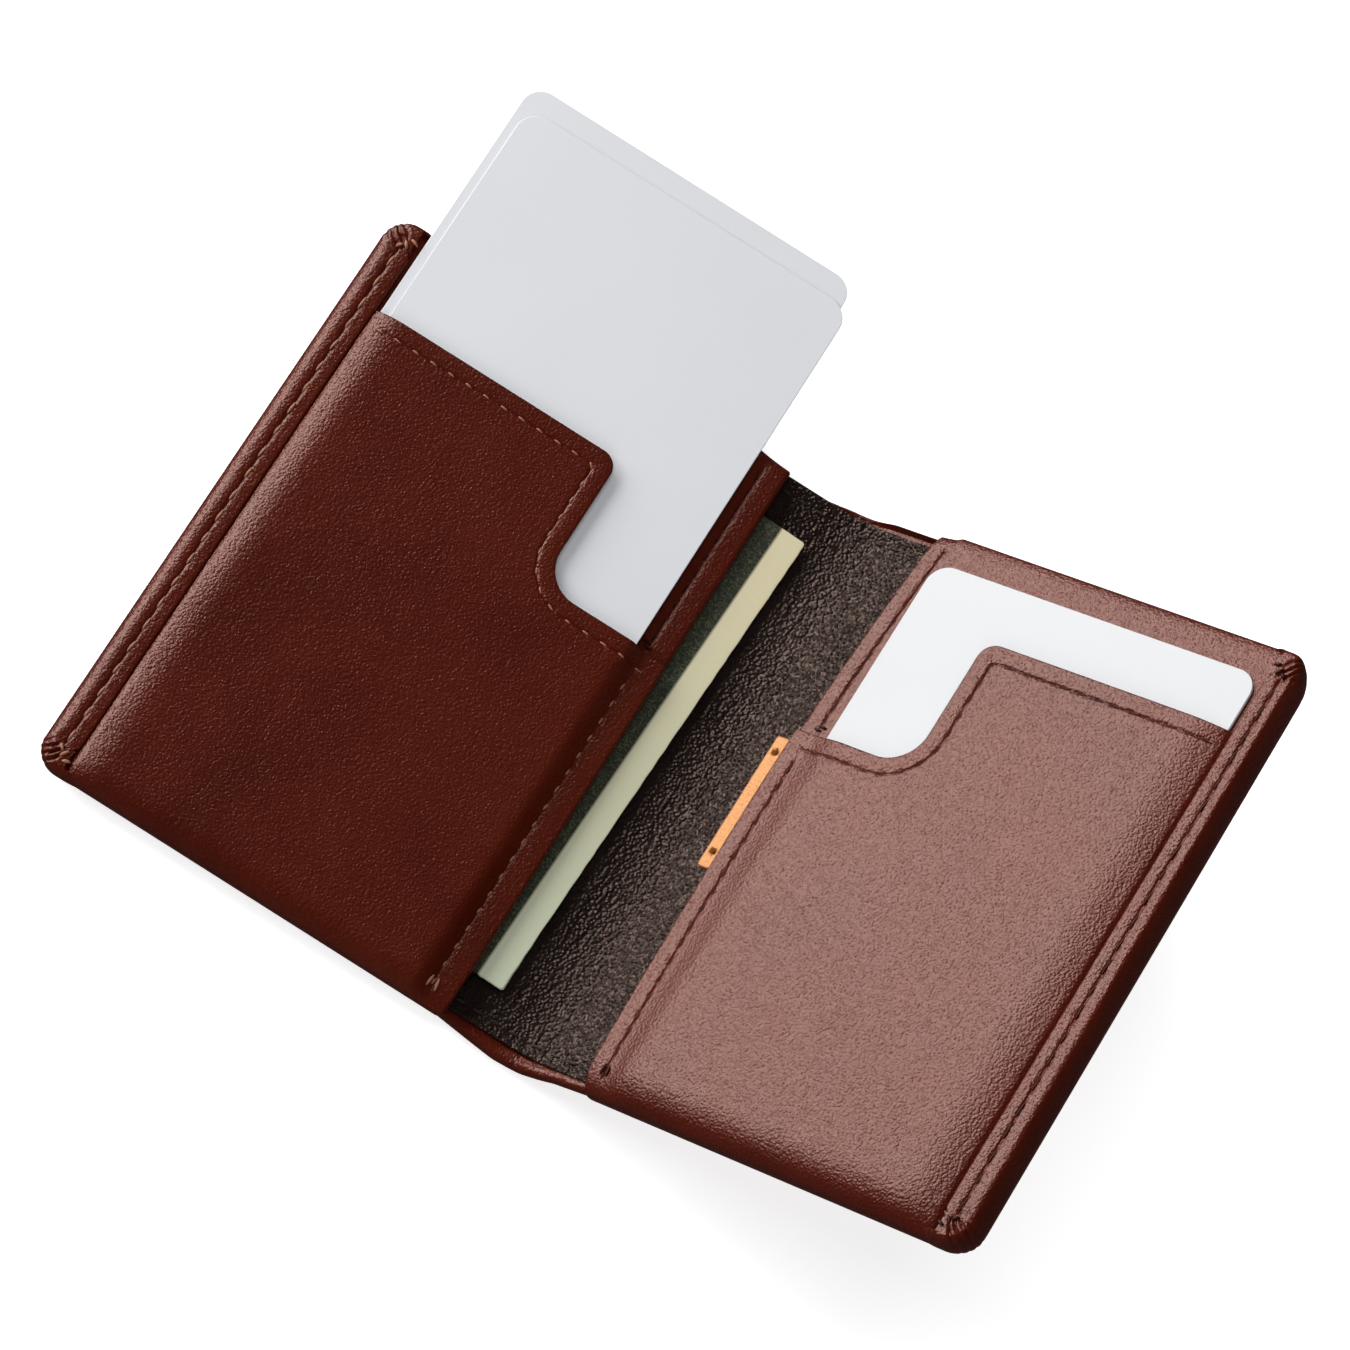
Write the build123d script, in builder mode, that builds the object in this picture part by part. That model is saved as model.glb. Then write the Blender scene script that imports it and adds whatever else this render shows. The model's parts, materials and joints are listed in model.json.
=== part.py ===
# Bifold wallet, lying open with its left wing flat and its right wing raised.
# Left and right wings fold about two lines, one on each side of a narrow spine.
# +Y runs along the spine, +X from the left wing to the right wing, +Z up.
# The origin is the middle of the flat underside of the left wing.
import os
from math import cos, radians, sin

from build123d import *

os.makedirs("parts", exist_ok=True)

# Cards and notes that the wallet is made to hold (mm)
card_width = 54.0
card_height = 85.6
card_thick = 0.76
card_corner = 3.2
note_width = 66.3
note_height = 78.0
note_thick = 0.24
stored_cards = 3

# Leather, lining, ribbon and thread
cover_thick = 1.1
lining_thick = 0.5
carrier_thick = 0.8
pocket_thick = 0.9
ribbon_thick = 0.15
thread_width = 0.55
thread_thick = 0.25

# Layout of a wing, measured outwards from its fold line
fold_margin = 6.6
hem_strip = 3.9
side_play = 1.2
pocket_wall = 0.5
border_width = 5.2
corner_radius = 5.0
end_play = 3.3
rim_width = 1.4

# Pocket mouth and its thumb notch
pocket_drop = 13.8
notch_depth = 21.4
notch_width = 16.1
notch_outer_radius = 2.6
notch_inner_radius = 5.5

# How the wallet lies at rest, how far cards and notes are drawn out of the left wing,
# and how far each card lies from the middle of its pocket, away from the fold
left_fold_angle = 13.8
right_fold_angle = 20.5
rear_card_out = 32.4
front_card_out = 28.6
note_out = 2.2
rear_card_aside = 0.5
front_card_aside = -0.9
right_card_aside = 0.4

# Pull tab and its ribbon
tab_length = 22.0
tab_showing = 2.6
tab_under = 5.5
tab_thick = 0.8
tab_hole = 0.9
tab_hole_inset = 2.6
ribbon_width = 12.0

# Clearances
layer_gap = 0.05
fold_gap = 0.15
note_slack = 0.55
closing_gap = 0.4
edge_play = 0.3

# Stitching
border_pitch = 3.7
seam_pitch = 2.9
border_stitch = 2.7
seam_stitch = 1.9
border_seam_inset = 3.3
seam_inset = 2.7
spine_seam_inset = 4.4
tack_length = 1.6

# Sizes that follow from the ones above
pocket_near = fold_margin + hem_strip
card_near = pocket_near + side_play
pocket_far = card_near + card_width + side_play
wing_width = pocket_far + border_width
inside_far = wing_width - cover_thick
sleeve_far = inside_far - rim_width
half_height = max(card_height, note_height) / 2 + end_play + rim_width
inside_half = half_height - cover_thick
sleeve_half = inside_half - rim_width
pocket_top = half_height - pocket_drop
notch_floor = pocket_top - notch_depth
notch_far = pocket_near + notch_width
card_floor = -card_height / 2
lining_top = cover_thick + lining_thick

left_sleeve = 2 * note_thick + 3 * layer_gap + note_slack
loop_base = lining_top + ribbon_thick + layer_gap
stack_base = loop_base + ribbon_thick + layer_gap
stack_top = stack_base + stored_cards * (card_thick + layer_gap) - layer_gap
loop_top = stack_top + layer_gap + ribbon_thick
run_base = loop_top + layer_gap
right_sleeve = run_base + ribbon_thick + layer_gap - lining_top

carrier_base = {"left": lining_top + left_sleeve, "right": lining_top + right_sleeve}
cards_held = {"left": 2, "right": 1}
carrier_top = {}
cavity_top = {}
pocket_face = {}
for name in carrier_base:
    carrier_top[name] = carrier_base[name] + carrier_thick
    cavity = cards_held[name] * (card_thick + layer_gap) + layer_gap
    cavity_top[name] = carrier_top[name] + cavity
    pocket_face[name] = cavity_top[name] + pocket_thick

# The spine is as wide as both filled wings are thick, so that the wallet closes flat
leaf_height = pocket_face["left"] + pocket_face["right"] - 2 * lining_top
spine_width = leaf_height + 2 * thread_thick + closing_gap

# The folds turn about the lining's face. Each plane starts on its own fold line.
left_fold_x = wing_width / 2
spine_lean = radians(left_fold_angle)
wing_lean = radians(left_fold_angle + right_fold_angle)
right_fold_x = left_fold_x + spine_width * cos(spine_lean)
right_fold_z = lining_top + spine_width * sin(spine_lean)
left_plane = Plane(origin=(left_fold_x, 0, 0))
spine_face = Plane(
    origin=(left_fold_x, 0, lining_top),
    x_dir=(cos(spine_lean), 0, sin(spine_lean)),
    z_dir=(-sin(spine_lean), 0, cos(spine_lean)),
)
spine_plane = spine_face.offset(-lining_top)
right_face = Plane(
    origin=(right_fold_x, 0, right_fold_z),
    x_dir=(cos(wing_lean), 0, sin(wing_lean)),
    z_dir=(-sin(wing_lean), 0, cos(wing_lean)),
)
right_plane = right_face.offset(-lining_top)
wings = {"left": (left_plane, -1), "right": (right_plane, 1)}


def band(side, near, far, low, high, mode=Mode.ADD):
    """A rectangle in the active sketch, near to far from the fold and low to high along it."""
    with Locations((side * (near + far) / 2, (low + high) / 2)):
        Rectangle(far - near, high - low, mode=mode)


def outer_corners(sketch, side):
    """The two corners of a wing's outline that are furthest from its fold."""
    return sketch.vertices().group_by(Axis.X)[-1 if side > 0 else 0]


def pocket_outline(side, near, far, low):
    """The pocket's outline in the active sketch: a tall part, and a low one beside the notch."""
    band(side, near, far, low, notch_floor)
    band(side, notch_far, far, low, pocket_top)


def round_notch(sketch, side):
    """Rounds the notch's inside corner and the mouth's corner above it."""
    corners = sketch.vertices().sort_by_distance((side * notch_far, notch_floor))
    fillet(corners[0], notch_inner_radius)
    mouth = sketch.vertices().sort_by_distance((side * notch_far, pocket_top))
    fillet(mouth[0], notch_outer_radius)


def card_at(side, near, low):
    """A card's outline in the active sketch."""
    with Locations((side * (near + card_width / 2), low + card_height / 2)):
        RectangleRounded(card_width, card_height, card_corner)


def stitches(wire, pitch, length):
    """Evenly spaced stitches along a wire, in the active sketch."""
    count = max(1, round(wire.length / pitch))
    for index in range(count):
        place = (index + 0.5) / count
        point = wire.position_at(place)
        heading = wire.tangent_at(place)
        turn = Vector(1, 0, 0).get_signed_angle(heading, Vector(0, 0, 1))
        with Locations(Location((point.X, point.Y, 0), (0, 0, turn))):
            SlotOverall(length, thread_width)


def straight_seam(start, end):
    """A straight seam line."""
    return Wire.make_polygon([start, end], close=False)


def notch_seam(side):
    """The seam that follows the pocket's mouth round its notch."""
    reach = seam_inset
    outer_radius = max(notch_outer_radius - reach, 0.4)
    inner_radius = notch_inner_radius + reach
    with BuildLine(mode=Mode.PRIVATE) as seam:
        FilletPolyline(
            (side * (fold_margin + 1.0), notch_floor - reach),
            (side * (notch_far + reach), notch_floor - reach),
            (side * (notch_far + reach), pocket_top - reach),
            (side * (pocket_far - 1.0), pocket_top - reach),
            radius=[inner_radius, outer_radius],
        )
    return seam.wire()


def finish(builder, name):
    """Names a piece and writes it."""
    builder.part.label = name
    export_step(builder.part, f"parts/{name}.step")


for name, (plane, side) in wings.items():
    base = carrier_base[name]
    top = carrier_top[name]
    flap_top = top + cover_thick
    seam_line = wing_width - border_seam_inset

    # Cover: one skin below, turned up round three sides and over along the outer side
    with BuildPart() as cover:
        with BuildSketch(plane) as outline:
            band(side, fold_gap, wing_width, -half_height, half_height)
            fillet(outer_corners(outline, side), corner_radius)
        extrude(amount=flap_top)
        with BuildSketch(plane.offset(cover_thick)) as inside:
            band(side, 0, inside_far, -inside_half, inside_half)
            fillet(outer_corners(inside, side), corner_radius - cover_thick)
        extrude(amount=top - cover_thick, mode=Mode.SUBTRACT)
        with BuildSketch(plane.offset(top)):
            band(side, 0, pocket_far, -half_height, half_height)
        extrude(amount=cover_thick, mode=Mode.SUBTRACT)
        with BuildSketch(plane.offset(lining_top)):
            band(side, 0, fold_margin, -half_height, half_height)
        extrude(amount=flap_top, mode=Mode.SUBTRACT)
        # A shallow furrow takes the border stitches on the outside
        with BuildSketch(plane):
            with Locations((side * seam_line, 0)):
                furrow_length = 2 * (half_height - corner_radius)
                SlotOverall(furrow_length, 2 * thread_width, rotation=90)
        extrude(amount=thread_thick + layer_gap, mode=Mode.SUBTRACT)
    finish(cover, f"cover_{name}")

    # Lining of the note compartment
    with BuildPart() as lining:
        with BuildSketch(plane.offset(cover_thick)) as outline:
            band(side, fold_gap, inside_far, -inside_half, inside_half)
            fillet(outer_corners(outline, side), corner_radius - cover_thick)
        extrude(amount=lining_thick)
    finish(lining, f"lining_{name}")

    # Carrier: the inner panel, with a turned rim that closes the note compartment on three sides
    with BuildPart() as carrier:
        with BuildSketch(plane.offset(lining_top)) as outline:
            band(side, fold_margin, inside_far, -inside_half, inside_half)
            fillet(outer_corners(outline, side), corner_radius - cover_thick)
        extrude(amount=top - lining_top)
        with BuildSketch(plane.offset(lining_top)):
            band(side, 0, sleeve_far, -sleeve_half, sleeve_half)
        extrude(amount=base - lining_top, mode=Mode.SUBTRACT)
    finish(carrier, f"carrier_{name}")

    # Card pocket, open at the top, with a thumb notch towards the spine
    with BuildPart() as pocket:
        with BuildSketch(plane.offset(top)) as outline:
            pocket_outline(side, fold_margin, pocket_far, -inside_half)
            round_notch(outline, side)
        extrude(amount=pocket_face[name] - top)
        with BuildSketch(plane.offset(top)):
            band(side, pocket_near, pocket_far - pocket_wall, card_floor - pocket_wall, half_height)
        extrude(amount=cavity_top[name] - top, mode=Mode.SUBTRACT)
    finish(pocket, f"pocket_{name}")

    # Border stitches, above the turned edge and in the furrow below
    border_low = -half_height + corner_radius
    border = straight_seam((side * seam_line, border_low), (side * seam_line, -border_low))
    with BuildPart() as border_thread:
        with BuildSketch(plane.offset(flap_top)):
            stitches(border, border_pitch, border_stitch)
        extrude(amount=thread_thick)
        with BuildSketch(plane.offset(layer_gap)):
            stitches(border, border_pitch, border_stitch)
        extrude(amount=thread_thick)
    finish(border_thread, f"border_thread_{name}")

    # Pocket stitches: round the mouth, and down the pocket's free side
    side_line = fold_margin + seam_inset
    low_side = straight_seam(
        (side * side_line, -inside_half + tack_length),
        (side * side_line, notch_floor - 2 * seam_inset),
    )
    with BuildPart() as pocket_thread:
        with BuildSketch(plane.offset(pocket_face[name])):
            stitches(notch_seam(side), seam_pitch, seam_stitch)
            stitches(low_side, seam_pitch, seam_stitch)
        extrude(amount=thread_thick)
    finish(pocket_thread, f"pocket_thread_{name}")

    # Hem stitches along the carrier's free edge above the notch
    high_side = straight_seam(
        (side * side_line, notch_floor + tack_length),
        (side * side_line, inside_half - tack_length),
    )
    with BuildPart() as hem_thread:
        with BuildSketch(plane.offset(top)):
            stitches(high_side, seam_pitch, seam_stitch)
        extrude(amount=thread_thick)
    finish(hem_thread, f"hem_thread_{name}")

    # Lining stitches at both ends, from the fold to the carrier
    with BuildPart() as lining_thread:
        with BuildSketch(plane.offset(lining_top)):
            for end in (-1, 1):
                level = end * (half_height - spine_seam_inset)
                start = (side * 3 * fold_gap, level)
                stitches(straight_seam(start, (side * fold_margin, level)), seam_pitch, seam_stitch)
        extrude(amount=thread_thick)
    finish(lining_thread, f"lining_thread_{name}")

# Spine: cover, lining and the stitches that hold the lining at both ends
with BuildPart() as spine_cover:
    with BuildSketch(spine_plane):
        band(1, fold_gap, spine_width - fold_gap, -half_height, half_height)
    extrude(amount=lining_top)
    with BuildSketch(spine_plane.offset(cover_thick)):
        band(1, 0, spine_width, -inside_half, inside_half)
    extrude(amount=lining_thick, mode=Mode.SUBTRACT)
finish(spine_cover, "cover_spine")

with BuildPart() as spine_lining:
    with BuildSketch(spine_plane.offset(cover_thick)):
        band(1, fold_gap, spine_width - fold_gap, -inside_half, inside_half)
    extrude(amount=lining_thick)
finish(spine_lining, "lining_spine")

with BuildPart() as spine_thread:
    with BuildSketch(spine_face):
        for end in (-1, 1):
            level = end * (half_height - spine_seam_inset)
            start = (3 * fold_gap, level)
            stitches(straight_seam(start, (spine_width - 3 * fold_gap, level)), seam_pitch, seam_stitch)
    extrude(amount=thread_thick)
finish(spine_thread, "lining_thread_spine")

# Cards in the pockets: two drawn out on the left, one seated on the right
left_card_base = carrier_top["left"] + layer_gap
with BuildPart() as rear_card:
    with BuildSketch(left_plane.offset(left_card_base)):
        card_at(-1, card_near + rear_card_aside, card_floor + rear_card_out)
    extrude(amount=card_thick)
finish(rear_card, "card_left_rear")

with BuildPart() as front_card:
    with BuildSketch(left_plane.offset(left_card_base + card_thick + layer_gap)):
        card_at(-1, card_near + front_card_aside, card_floor + front_card_out)
    extrude(amount=card_thick)
finish(front_card, "card_left_front")

with BuildPart() as right_card:
    with BuildSketch(right_plane.offset(carrier_top["right"] + layer_gap)):
        card_at(1, card_near + right_card_aside, card_floor)
    extrude(amount=card_thick)
finish(right_card, "card_right")

# Cards stored flat behind the right wing's carrier, inside the ribbon's loop
loop_far = sleeve_far - edge_play
stored_far = loop_far - ribbon_thick - layer_gap
for index in range(stored_cards):
    level = stack_base + index * (card_thick + layer_gap)
    with BuildPart() as stored_card:
        with BuildSketch(right_plane.offset(level)):
            card_at(1, stored_far - card_width, card_floor)
        extrude(amount=card_thick)
    finish(stored_card, f"stored_card_{index + 1}")

# Ribbon: a fixed run below the stored cards, a loop round their far edge, and a run to the tab
tab_near = fold_margin - tab_showing
tab_far = fold_margin + tab_under
ribbon_near = tab_far + edge_play
loop_near = stored_far - card_width / 3
half_ribbon = ribbon_width / 2
with BuildPart() as ribbon_anchor:
    with BuildSketch(right_plane.offset(lining_top)):
        band(1, ribbon_near, loop_far, -half_ribbon, half_ribbon)
    extrude(amount=ribbon_thick)
finish(ribbon_anchor, "ribbon_anchor")

with BuildPart() as ribbon_loop:
    with BuildSketch(right_plane.offset(loop_base)):
        band(1, loop_near, loop_far, -half_ribbon, half_ribbon)
    extrude(amount=loop_top - loop_base)
    with BuildSketch(right_plane.offset(loop_base + ribbon_thick)):
        band(1, 0, loop_far - ribbon_thick, -half_ribbon, half_ribbon)
    extrude(amount=loop_top - loop_base - 2 * ribbon_thick, mode=Mode.SUBTRACT)
finish(ribbon_loop, "ribbon_loop")

# The tab is leather, pierced near each end, with the ribbon's upper run sewn to its back edge
tab_top = carrier_base["right"] - layer_gap
with BuildPart() as pull_tab:
    with BuildSketch(right_plane.offset(tab_top - tab_thick)):
        band(1, tab_near, tab_far, -tab_length / 2, tab_length / 2)
        hole_x = fold_margin - tab_showing / 2
        with Locations((hole_x, tab_length / 2 - tab_hole_inset), (hole_x, tab_hole_inset - tab_length / 2)):
            Circle(tab_hole / 2, mode=Mode.SUBTRACT)
    extrude(amount=tab_thick)
finish(pull_tab, "pull_tab")

with BuildPart() as ribbon_run:
    with BuildSketch(right_plane.offset(run_base)):
        band(1, tab_far, loop_far - edge_play, -half_ribbon, half_ribbon)
    extrude(amount=ribbon_thick)
finish(ribbon_run, "ribbon_run")

# Two notes, each folded once across, pushed up against the left wing's carrier
notes_far = sleeve_far - edge_play - note_out
note_top = carrier_base["left"] - layer_gap
for index, note_name in enumerate(("note_upper", "note_lower")):
    level = note_top - (index + 1) * note_thick - index * layer_gap
    with BuildPart() as note:
        with BuildSketch(left_plane.offset(level)):
            band(-1, notes_far - note_width, notes_far, -note_height / 2, note_height / 2)
        extrude(amount=note_thick)
    finish(note, note_name)

print("wing", wing_width, "by", 2 * half_height, "spine", round(spine_width, 3))
print("left fold", left_fold_x, lining_top)
print("right fold", round(right_fold_x, 4), round(right_fold_z, 4))
print("faces", pocket_face, "carriers", carrier_top)
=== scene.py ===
import json
import math
import random
import bmesh
import bpy
import numpy as np
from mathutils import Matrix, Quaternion, Vector
from mathutils.geometry import delaunay_2d_cdt


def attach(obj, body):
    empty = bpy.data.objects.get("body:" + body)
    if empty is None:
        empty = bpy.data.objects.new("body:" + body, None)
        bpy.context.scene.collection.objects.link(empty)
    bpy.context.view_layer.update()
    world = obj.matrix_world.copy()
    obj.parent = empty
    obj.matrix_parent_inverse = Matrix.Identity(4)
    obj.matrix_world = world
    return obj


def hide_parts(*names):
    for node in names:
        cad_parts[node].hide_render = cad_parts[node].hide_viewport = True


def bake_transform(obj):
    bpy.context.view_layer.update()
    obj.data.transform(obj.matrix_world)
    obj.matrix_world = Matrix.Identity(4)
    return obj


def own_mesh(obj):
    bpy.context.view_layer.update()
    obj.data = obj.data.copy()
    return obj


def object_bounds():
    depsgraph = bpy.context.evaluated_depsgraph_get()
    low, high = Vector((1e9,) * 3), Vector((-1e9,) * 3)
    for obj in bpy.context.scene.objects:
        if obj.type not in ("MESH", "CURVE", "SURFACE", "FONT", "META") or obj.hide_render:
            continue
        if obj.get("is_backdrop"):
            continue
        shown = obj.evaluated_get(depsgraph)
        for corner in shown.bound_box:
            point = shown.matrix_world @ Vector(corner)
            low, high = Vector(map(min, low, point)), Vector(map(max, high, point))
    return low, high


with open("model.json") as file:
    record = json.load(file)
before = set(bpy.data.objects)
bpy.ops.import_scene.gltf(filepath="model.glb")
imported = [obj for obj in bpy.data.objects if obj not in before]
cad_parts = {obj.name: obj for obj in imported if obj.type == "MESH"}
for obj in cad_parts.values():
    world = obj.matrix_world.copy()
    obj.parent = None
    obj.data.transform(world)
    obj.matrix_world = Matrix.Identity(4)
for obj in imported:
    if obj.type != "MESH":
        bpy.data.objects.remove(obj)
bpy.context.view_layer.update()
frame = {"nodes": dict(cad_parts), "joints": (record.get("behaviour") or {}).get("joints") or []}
print("frame loaded:", len(frame["nodes"]), "nodes")

mm = 0.001
random.seed(7)
nodes = frame["nodes"]
joints = {j["name"]: j for j in frame["joints"]}

# where the wings lie, read from the frame (all lengths here are in mm)
leftFold = np.array(joints["left_fold"]["pos_m"]) / mm
rightFold = np.array(joints["right_fold"]["pos_m"]) / mm
wingLean = math.radians(joints["left_fold"]["range_deg"][1] + joints["right_fold"]["range_deg"][1])
liningFace = leftFold[2]
cosLean, sinLean = math.cos(wingLean), math.sin(wingLean)


def wingToWorld(side, d, v, h):
    # d outwards from the fold, v along it, h above the wing's outside
    if side == "left":
        return np.stack([leftFold[0] - d, v, h + 0 * d], 1)
    up = h - liningFace
    x = rightFold[0] + d * cosLean - up * sinLean
    z = rightFold[2] + d * sinLean + up * cosLean
    return np.stack([x, v, z], 1)


def worldToWing(side, points):
    if side == "left":
        return np.stack([leftFold[0] - points[:, 0], points[:, 1], points[:, 2]], 1)
    x, z = points[:, 0] - rightFold[0], points[:, 2] - rightFold[2]
    return np.stack([x * cosLean + z * sinLean, points[:, 1], z * cosLean - x * sinLean + liningFace], 1)


def wingBox(node, side):
    points = np.array([v.co for v in nodes[node].data.vertices], float) / mm
    local = worldToWing(side, points)
    return local.min(0), local.max(0)


carrierThick = 0.8
wings = {}
for side in ("left", "right"):
    coverHigh = wingBox("cover_" + side, side)[1]
    carrierLow, carrierHigh = wingBox("carrier_" + side, side)
    pocketHigh = wingBox("pocket_" + side, side)[1]
    wings[side] = {
        "width": coverHigh[0], "half": coverHigh[1], "flapTop": coverHigh[2],
        "near": carrierLow[0], "carrierTop": carrierHigh[2], "carrierBase": carrierHigh[2] - carrierThick,
        "face": pocketHigh[2], "far": pocketHigh[0], "mouth": pocketHigh[1],
    }

layout = {
    "cornerRadius": 4.0,
    "borderSeam": 3.1,        # border stitches, in from the outer edge
    "borderPitch": 3.7,
    "seamInset": 2.7,         # pocket stitches, in from an edge
    "seamPitch": 2.9,
    "notchFloor": 12.3,
    "notchFar": 26.6,
    "notchOuterRadius": 2.6,
    "notchInnerRadius": 5.5,
    "panelHalf": 46.95,       # where the inner panels turn down at both ends
    "panelFar": 69.3,         # their hidden side under the border
    "pocketFar": 67.4,
    "liningHalf": 45.0,
    "liningFar": 68.0,
    "liningSeam": 43.1,
    "footHeight": 1.7,        # lowest line of the turned-down panel ends
    # half height of the bottom skin at places along the sheet, which starts at the left fold
    "rimTop": ((-20, 0, 4.5, 7.5, 11.5, 20), (46.8, 46.6, 47.4, 47.6, 48.0, 48.0)),
    "rimLow": ((-8, -1, 3, 7, 12, 18), (46.3, 47.1, 47.5, 47.4, 46.6, 46.3)),
    # how much a panel's top corner drops beside the spine: outwards, down
    "nearDrop": {"left": (0.5, 0.4), "right": (0.5, 0.7)},
    # each pair below is for the low end and the top end of a wing
    "endHalf": {"left": (47.05, 47.3), "right": (47.35, 47.95)},
    "endLevel": {"left": (3.1, 2.95), "right": (3.9, 4.8)},        # height of the widest line
    "cornerHalf": {"left": (47.15, 47.85), "right": (47.45, 47.9)},
    "cornerLevel": {"left": (3.1, 3.6), "right": (4.0, 5.0)},
    "sagTangent": 4.5,        # how softly the spine sags between the wings
}


# small numeric helpers
def smooth(t):
    t = np.clip(t, 0, 1)
    return t * t * (3 - 2 * t)


def ramp(x, span):
    # climbs softly from 0 to 1: span says where it starts and how long it takes
    return smooth((x - span[0]) / span[1])


def roundOff(e, radius):
    # a rounded edge: 0 at the outline, 1 from radius inwards
    t = 1 - np.clip(e / radius, 0, 1)
    return np.sqrt(np.clip(1 - t * t, 0, 1))


def waves(d, v, size, seed):
    # slow unevenness of hand-finished leather
    rng = np.random.default_rng(seed)
    total = np.zeros_like(d)
    for k in range(6):
        angle, phase = rng.uniform(0, math.tau, 2)
        rate = rng.uniform(0.7, 1.6) / size
        total += np.sin((d * math.cos(angle) + v * math.sin(angle)) * rate + phase)
    return total / 6


def pathLengths(path):
    return np.concatenate([[0], np.cumsum(np.linalg.norm(np.diff(path, axis=0), axis=1))])


def nearestOnPath(path, d, v):
    # distance to a dense path, and how far along it the nearest point lies
    steps = pathLengths(path)
    points = np.stack([d, v], 1)
    best = np.full(len(points), 1e9)
    along = np.zeros(len(points))
    chunk = 4000
    for start in range(0, len(points), chunk):
        part = points[start:start + chunk]
        gap = np.linalg.norm(part[:, None, :] - path[None, :, :], axis=2)
        index = gap.argmin(1)
        best[start:start + chunk] = gap[np.arange(len(part)), index]
        along[start:start + chunk] = steps[index]
    return best, along


def seamFurrow(path, pitch, depth, width, d, v):
    # a line of stitches presses the leather down, most of all at its holes
    gap, along = nearestOnPath(path, d, v)
    hole = (0.5 - 0.5 * np.cos(along / pitch * math.tau)) ** 4
    return depth * (0.7 + 0.3 * hole) * np.exp(-(gap / (width * (1 + 0.9 * hole))) ** 2)


def densePath(points, radii, step=0.2):
    # a polyline with rounded corners, sampled evenly
    points = [np.array(p, float) for p in points]
    track = [points[0]]
    for i in range(1, len(points) - 1):
        a = (points[i] - points[i - 1]) / np.linalg.norm(points[i] - points[i - 1])
        b = (points[i + 1] - points[i]) / np.linalg.norm(points[i + 1] - points[i])
        r = radii[i - 1]
        start = points[i] - a * r
        for t in np.linspace(0, math.pi / 2, 12):
            track.append(start + a * r * math.sin(t) + b * r * (1 - math.cos(t)))
    track.append(points[-1])
    track = np.array(track)
    lengths = pathLengths(track)
    samples = np.arange(0, lengths[-1], step)
    return np.stack([np.interp(samples, lengths, track[:, k]) for k in (0, 1)], 1)


# the sheet across the spine: straight, then a soft sag, then straight up the right wing
valleyX = rightFold[0] - (rightFold[2] - leftFold[2]) / math.tan(wingLean)
sagStart = valleyX - leftFold[0] - layout["sagTangent"]
sagRadius = layout["sagTangent"] / math.tan(wingLean / 2)
sagEnd = sagStart + sagRadius * wingLean
rise = (rightFold[2] - leftFold[2]) / sinLean
sheetLength = sagEnd + rise - layout["sagTangent"]
midSheet = sheetLength / 2


def sheetPoint(s, v, up):
    # s runs from the left fold across the spine, up is above the lining's face
    turn = np.clip((s - sagStart) / sagRadius, 0, wingLean)
    x = leftFold[0] + np.minimum(s, sagStart) + sagRadius * np.sin(turn)
    z = leftFold[2] + sagRadius * (1 - np.cos(turn))
    beyond = np.maximum(s - sagEnd, 0)
    x = x + beyond * cosLean
    z = z + beyond * sinLean
    return np.stack([x - up * np.sin(turn), v, z + up * np.cos(turn)], 1)


def sheetToWorld(side, d, v, h):
    s = -d if side == "left" else sheetLength + d
    return sheetPoint(s, v, h - liningFace)


def byEnd(key, side, v):
    low, top = layout[key][side]
    return np.where(v > 0, top, low)


# the free edges of the inner panels aren't ruler straight
freeEdge = {
    "leftShift": -1.0, "leftFrom": 9.0, "leftOver": 2.4,
    "rightShift": 0.4, "rightTopBow": 2.3, "rightLowBow": 1.0, "rightFrom": 13.5, "rightOver": 4.2,
    "half": 46,
}


def drift(side, d, v):
    if side == "left":
        return freeEdge["leftShift"] * np.clip((freeEdge["leftFrom"] - d) / freeEdge["leftOver"], 0, 1)
    bow = np.where(v > 0, freeEdge["rightTopBow"], freeEdge["rightLowBow"]) * (v / freeEdge["half"]) ** 2
    near = np.clip((freeEdge["rightFrom"] - d) / freeEdge["rightOver"], 0, 1)
    return (freeEdge["rightShift"] + bow) * near


def panelToWorld(side, d, v, h):
    return wingToWorld(side, d + drift(side, d, v), v, h)


# mesh making
def ringPoints(corners, radii, inset, arcSteps, edgeSteps):
    # the outline moved in by inset, its corners rounded and its straight parts divided
    arcs = []
    count = len(corners)
    for i in range(count):
        c = np.array(corners[i], float)
        a = c - corners[i - 1]
        b = np.array(corners[(i + 1) % count], float) - c
        a, b = a / np.linalg.norm(a), b / np.linalg.norm(b)
        turn = 1 if a[0] * b[1] - a[1] * b[0] > 0 else -1
        inA, inB = np.array([-a[1], a[0]]), np.array([-b[1], b[0]])
        r = max(radii[i] - turn * inset, 0.2)
        centre = c + inset * (inA + inB) + turn * r * (inA + inB)
        angles = np.linspace(0, math.pi / 2, arcSteps[i] + 1)
        arcs.append([centre - turn * r * (inA * math.cos(t) + inB * math.sin(t)) for t in angles])
    ring = []
    for i, arc in enumerate(arcs):
        ring += arc
        nextStart = arcs[(i + 1) % count][0]
        ring += [arc[-1] + (nextStart - arc[-1]) * k / edgeSteps[i] for k in range(1, edgeSteps[i])]
    return np.array(ring)


def insideRing(ring, points):
    inside = np.zeros(len(points), bool)
    for (x0, y0), (x1, y1) in zip(ring, np.roll(ring, -1, axis=0)):
        if y0 == y1:
            continue
        crosses = (points[:, 1] > y0) != (points[:, 1] > y1)
        x = x0 + (points[:, 1] - y0) / (y1 - y0) * (x1 - x0)
        inside ^= crosses & (points[:, 0] < x)
    return inside


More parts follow.
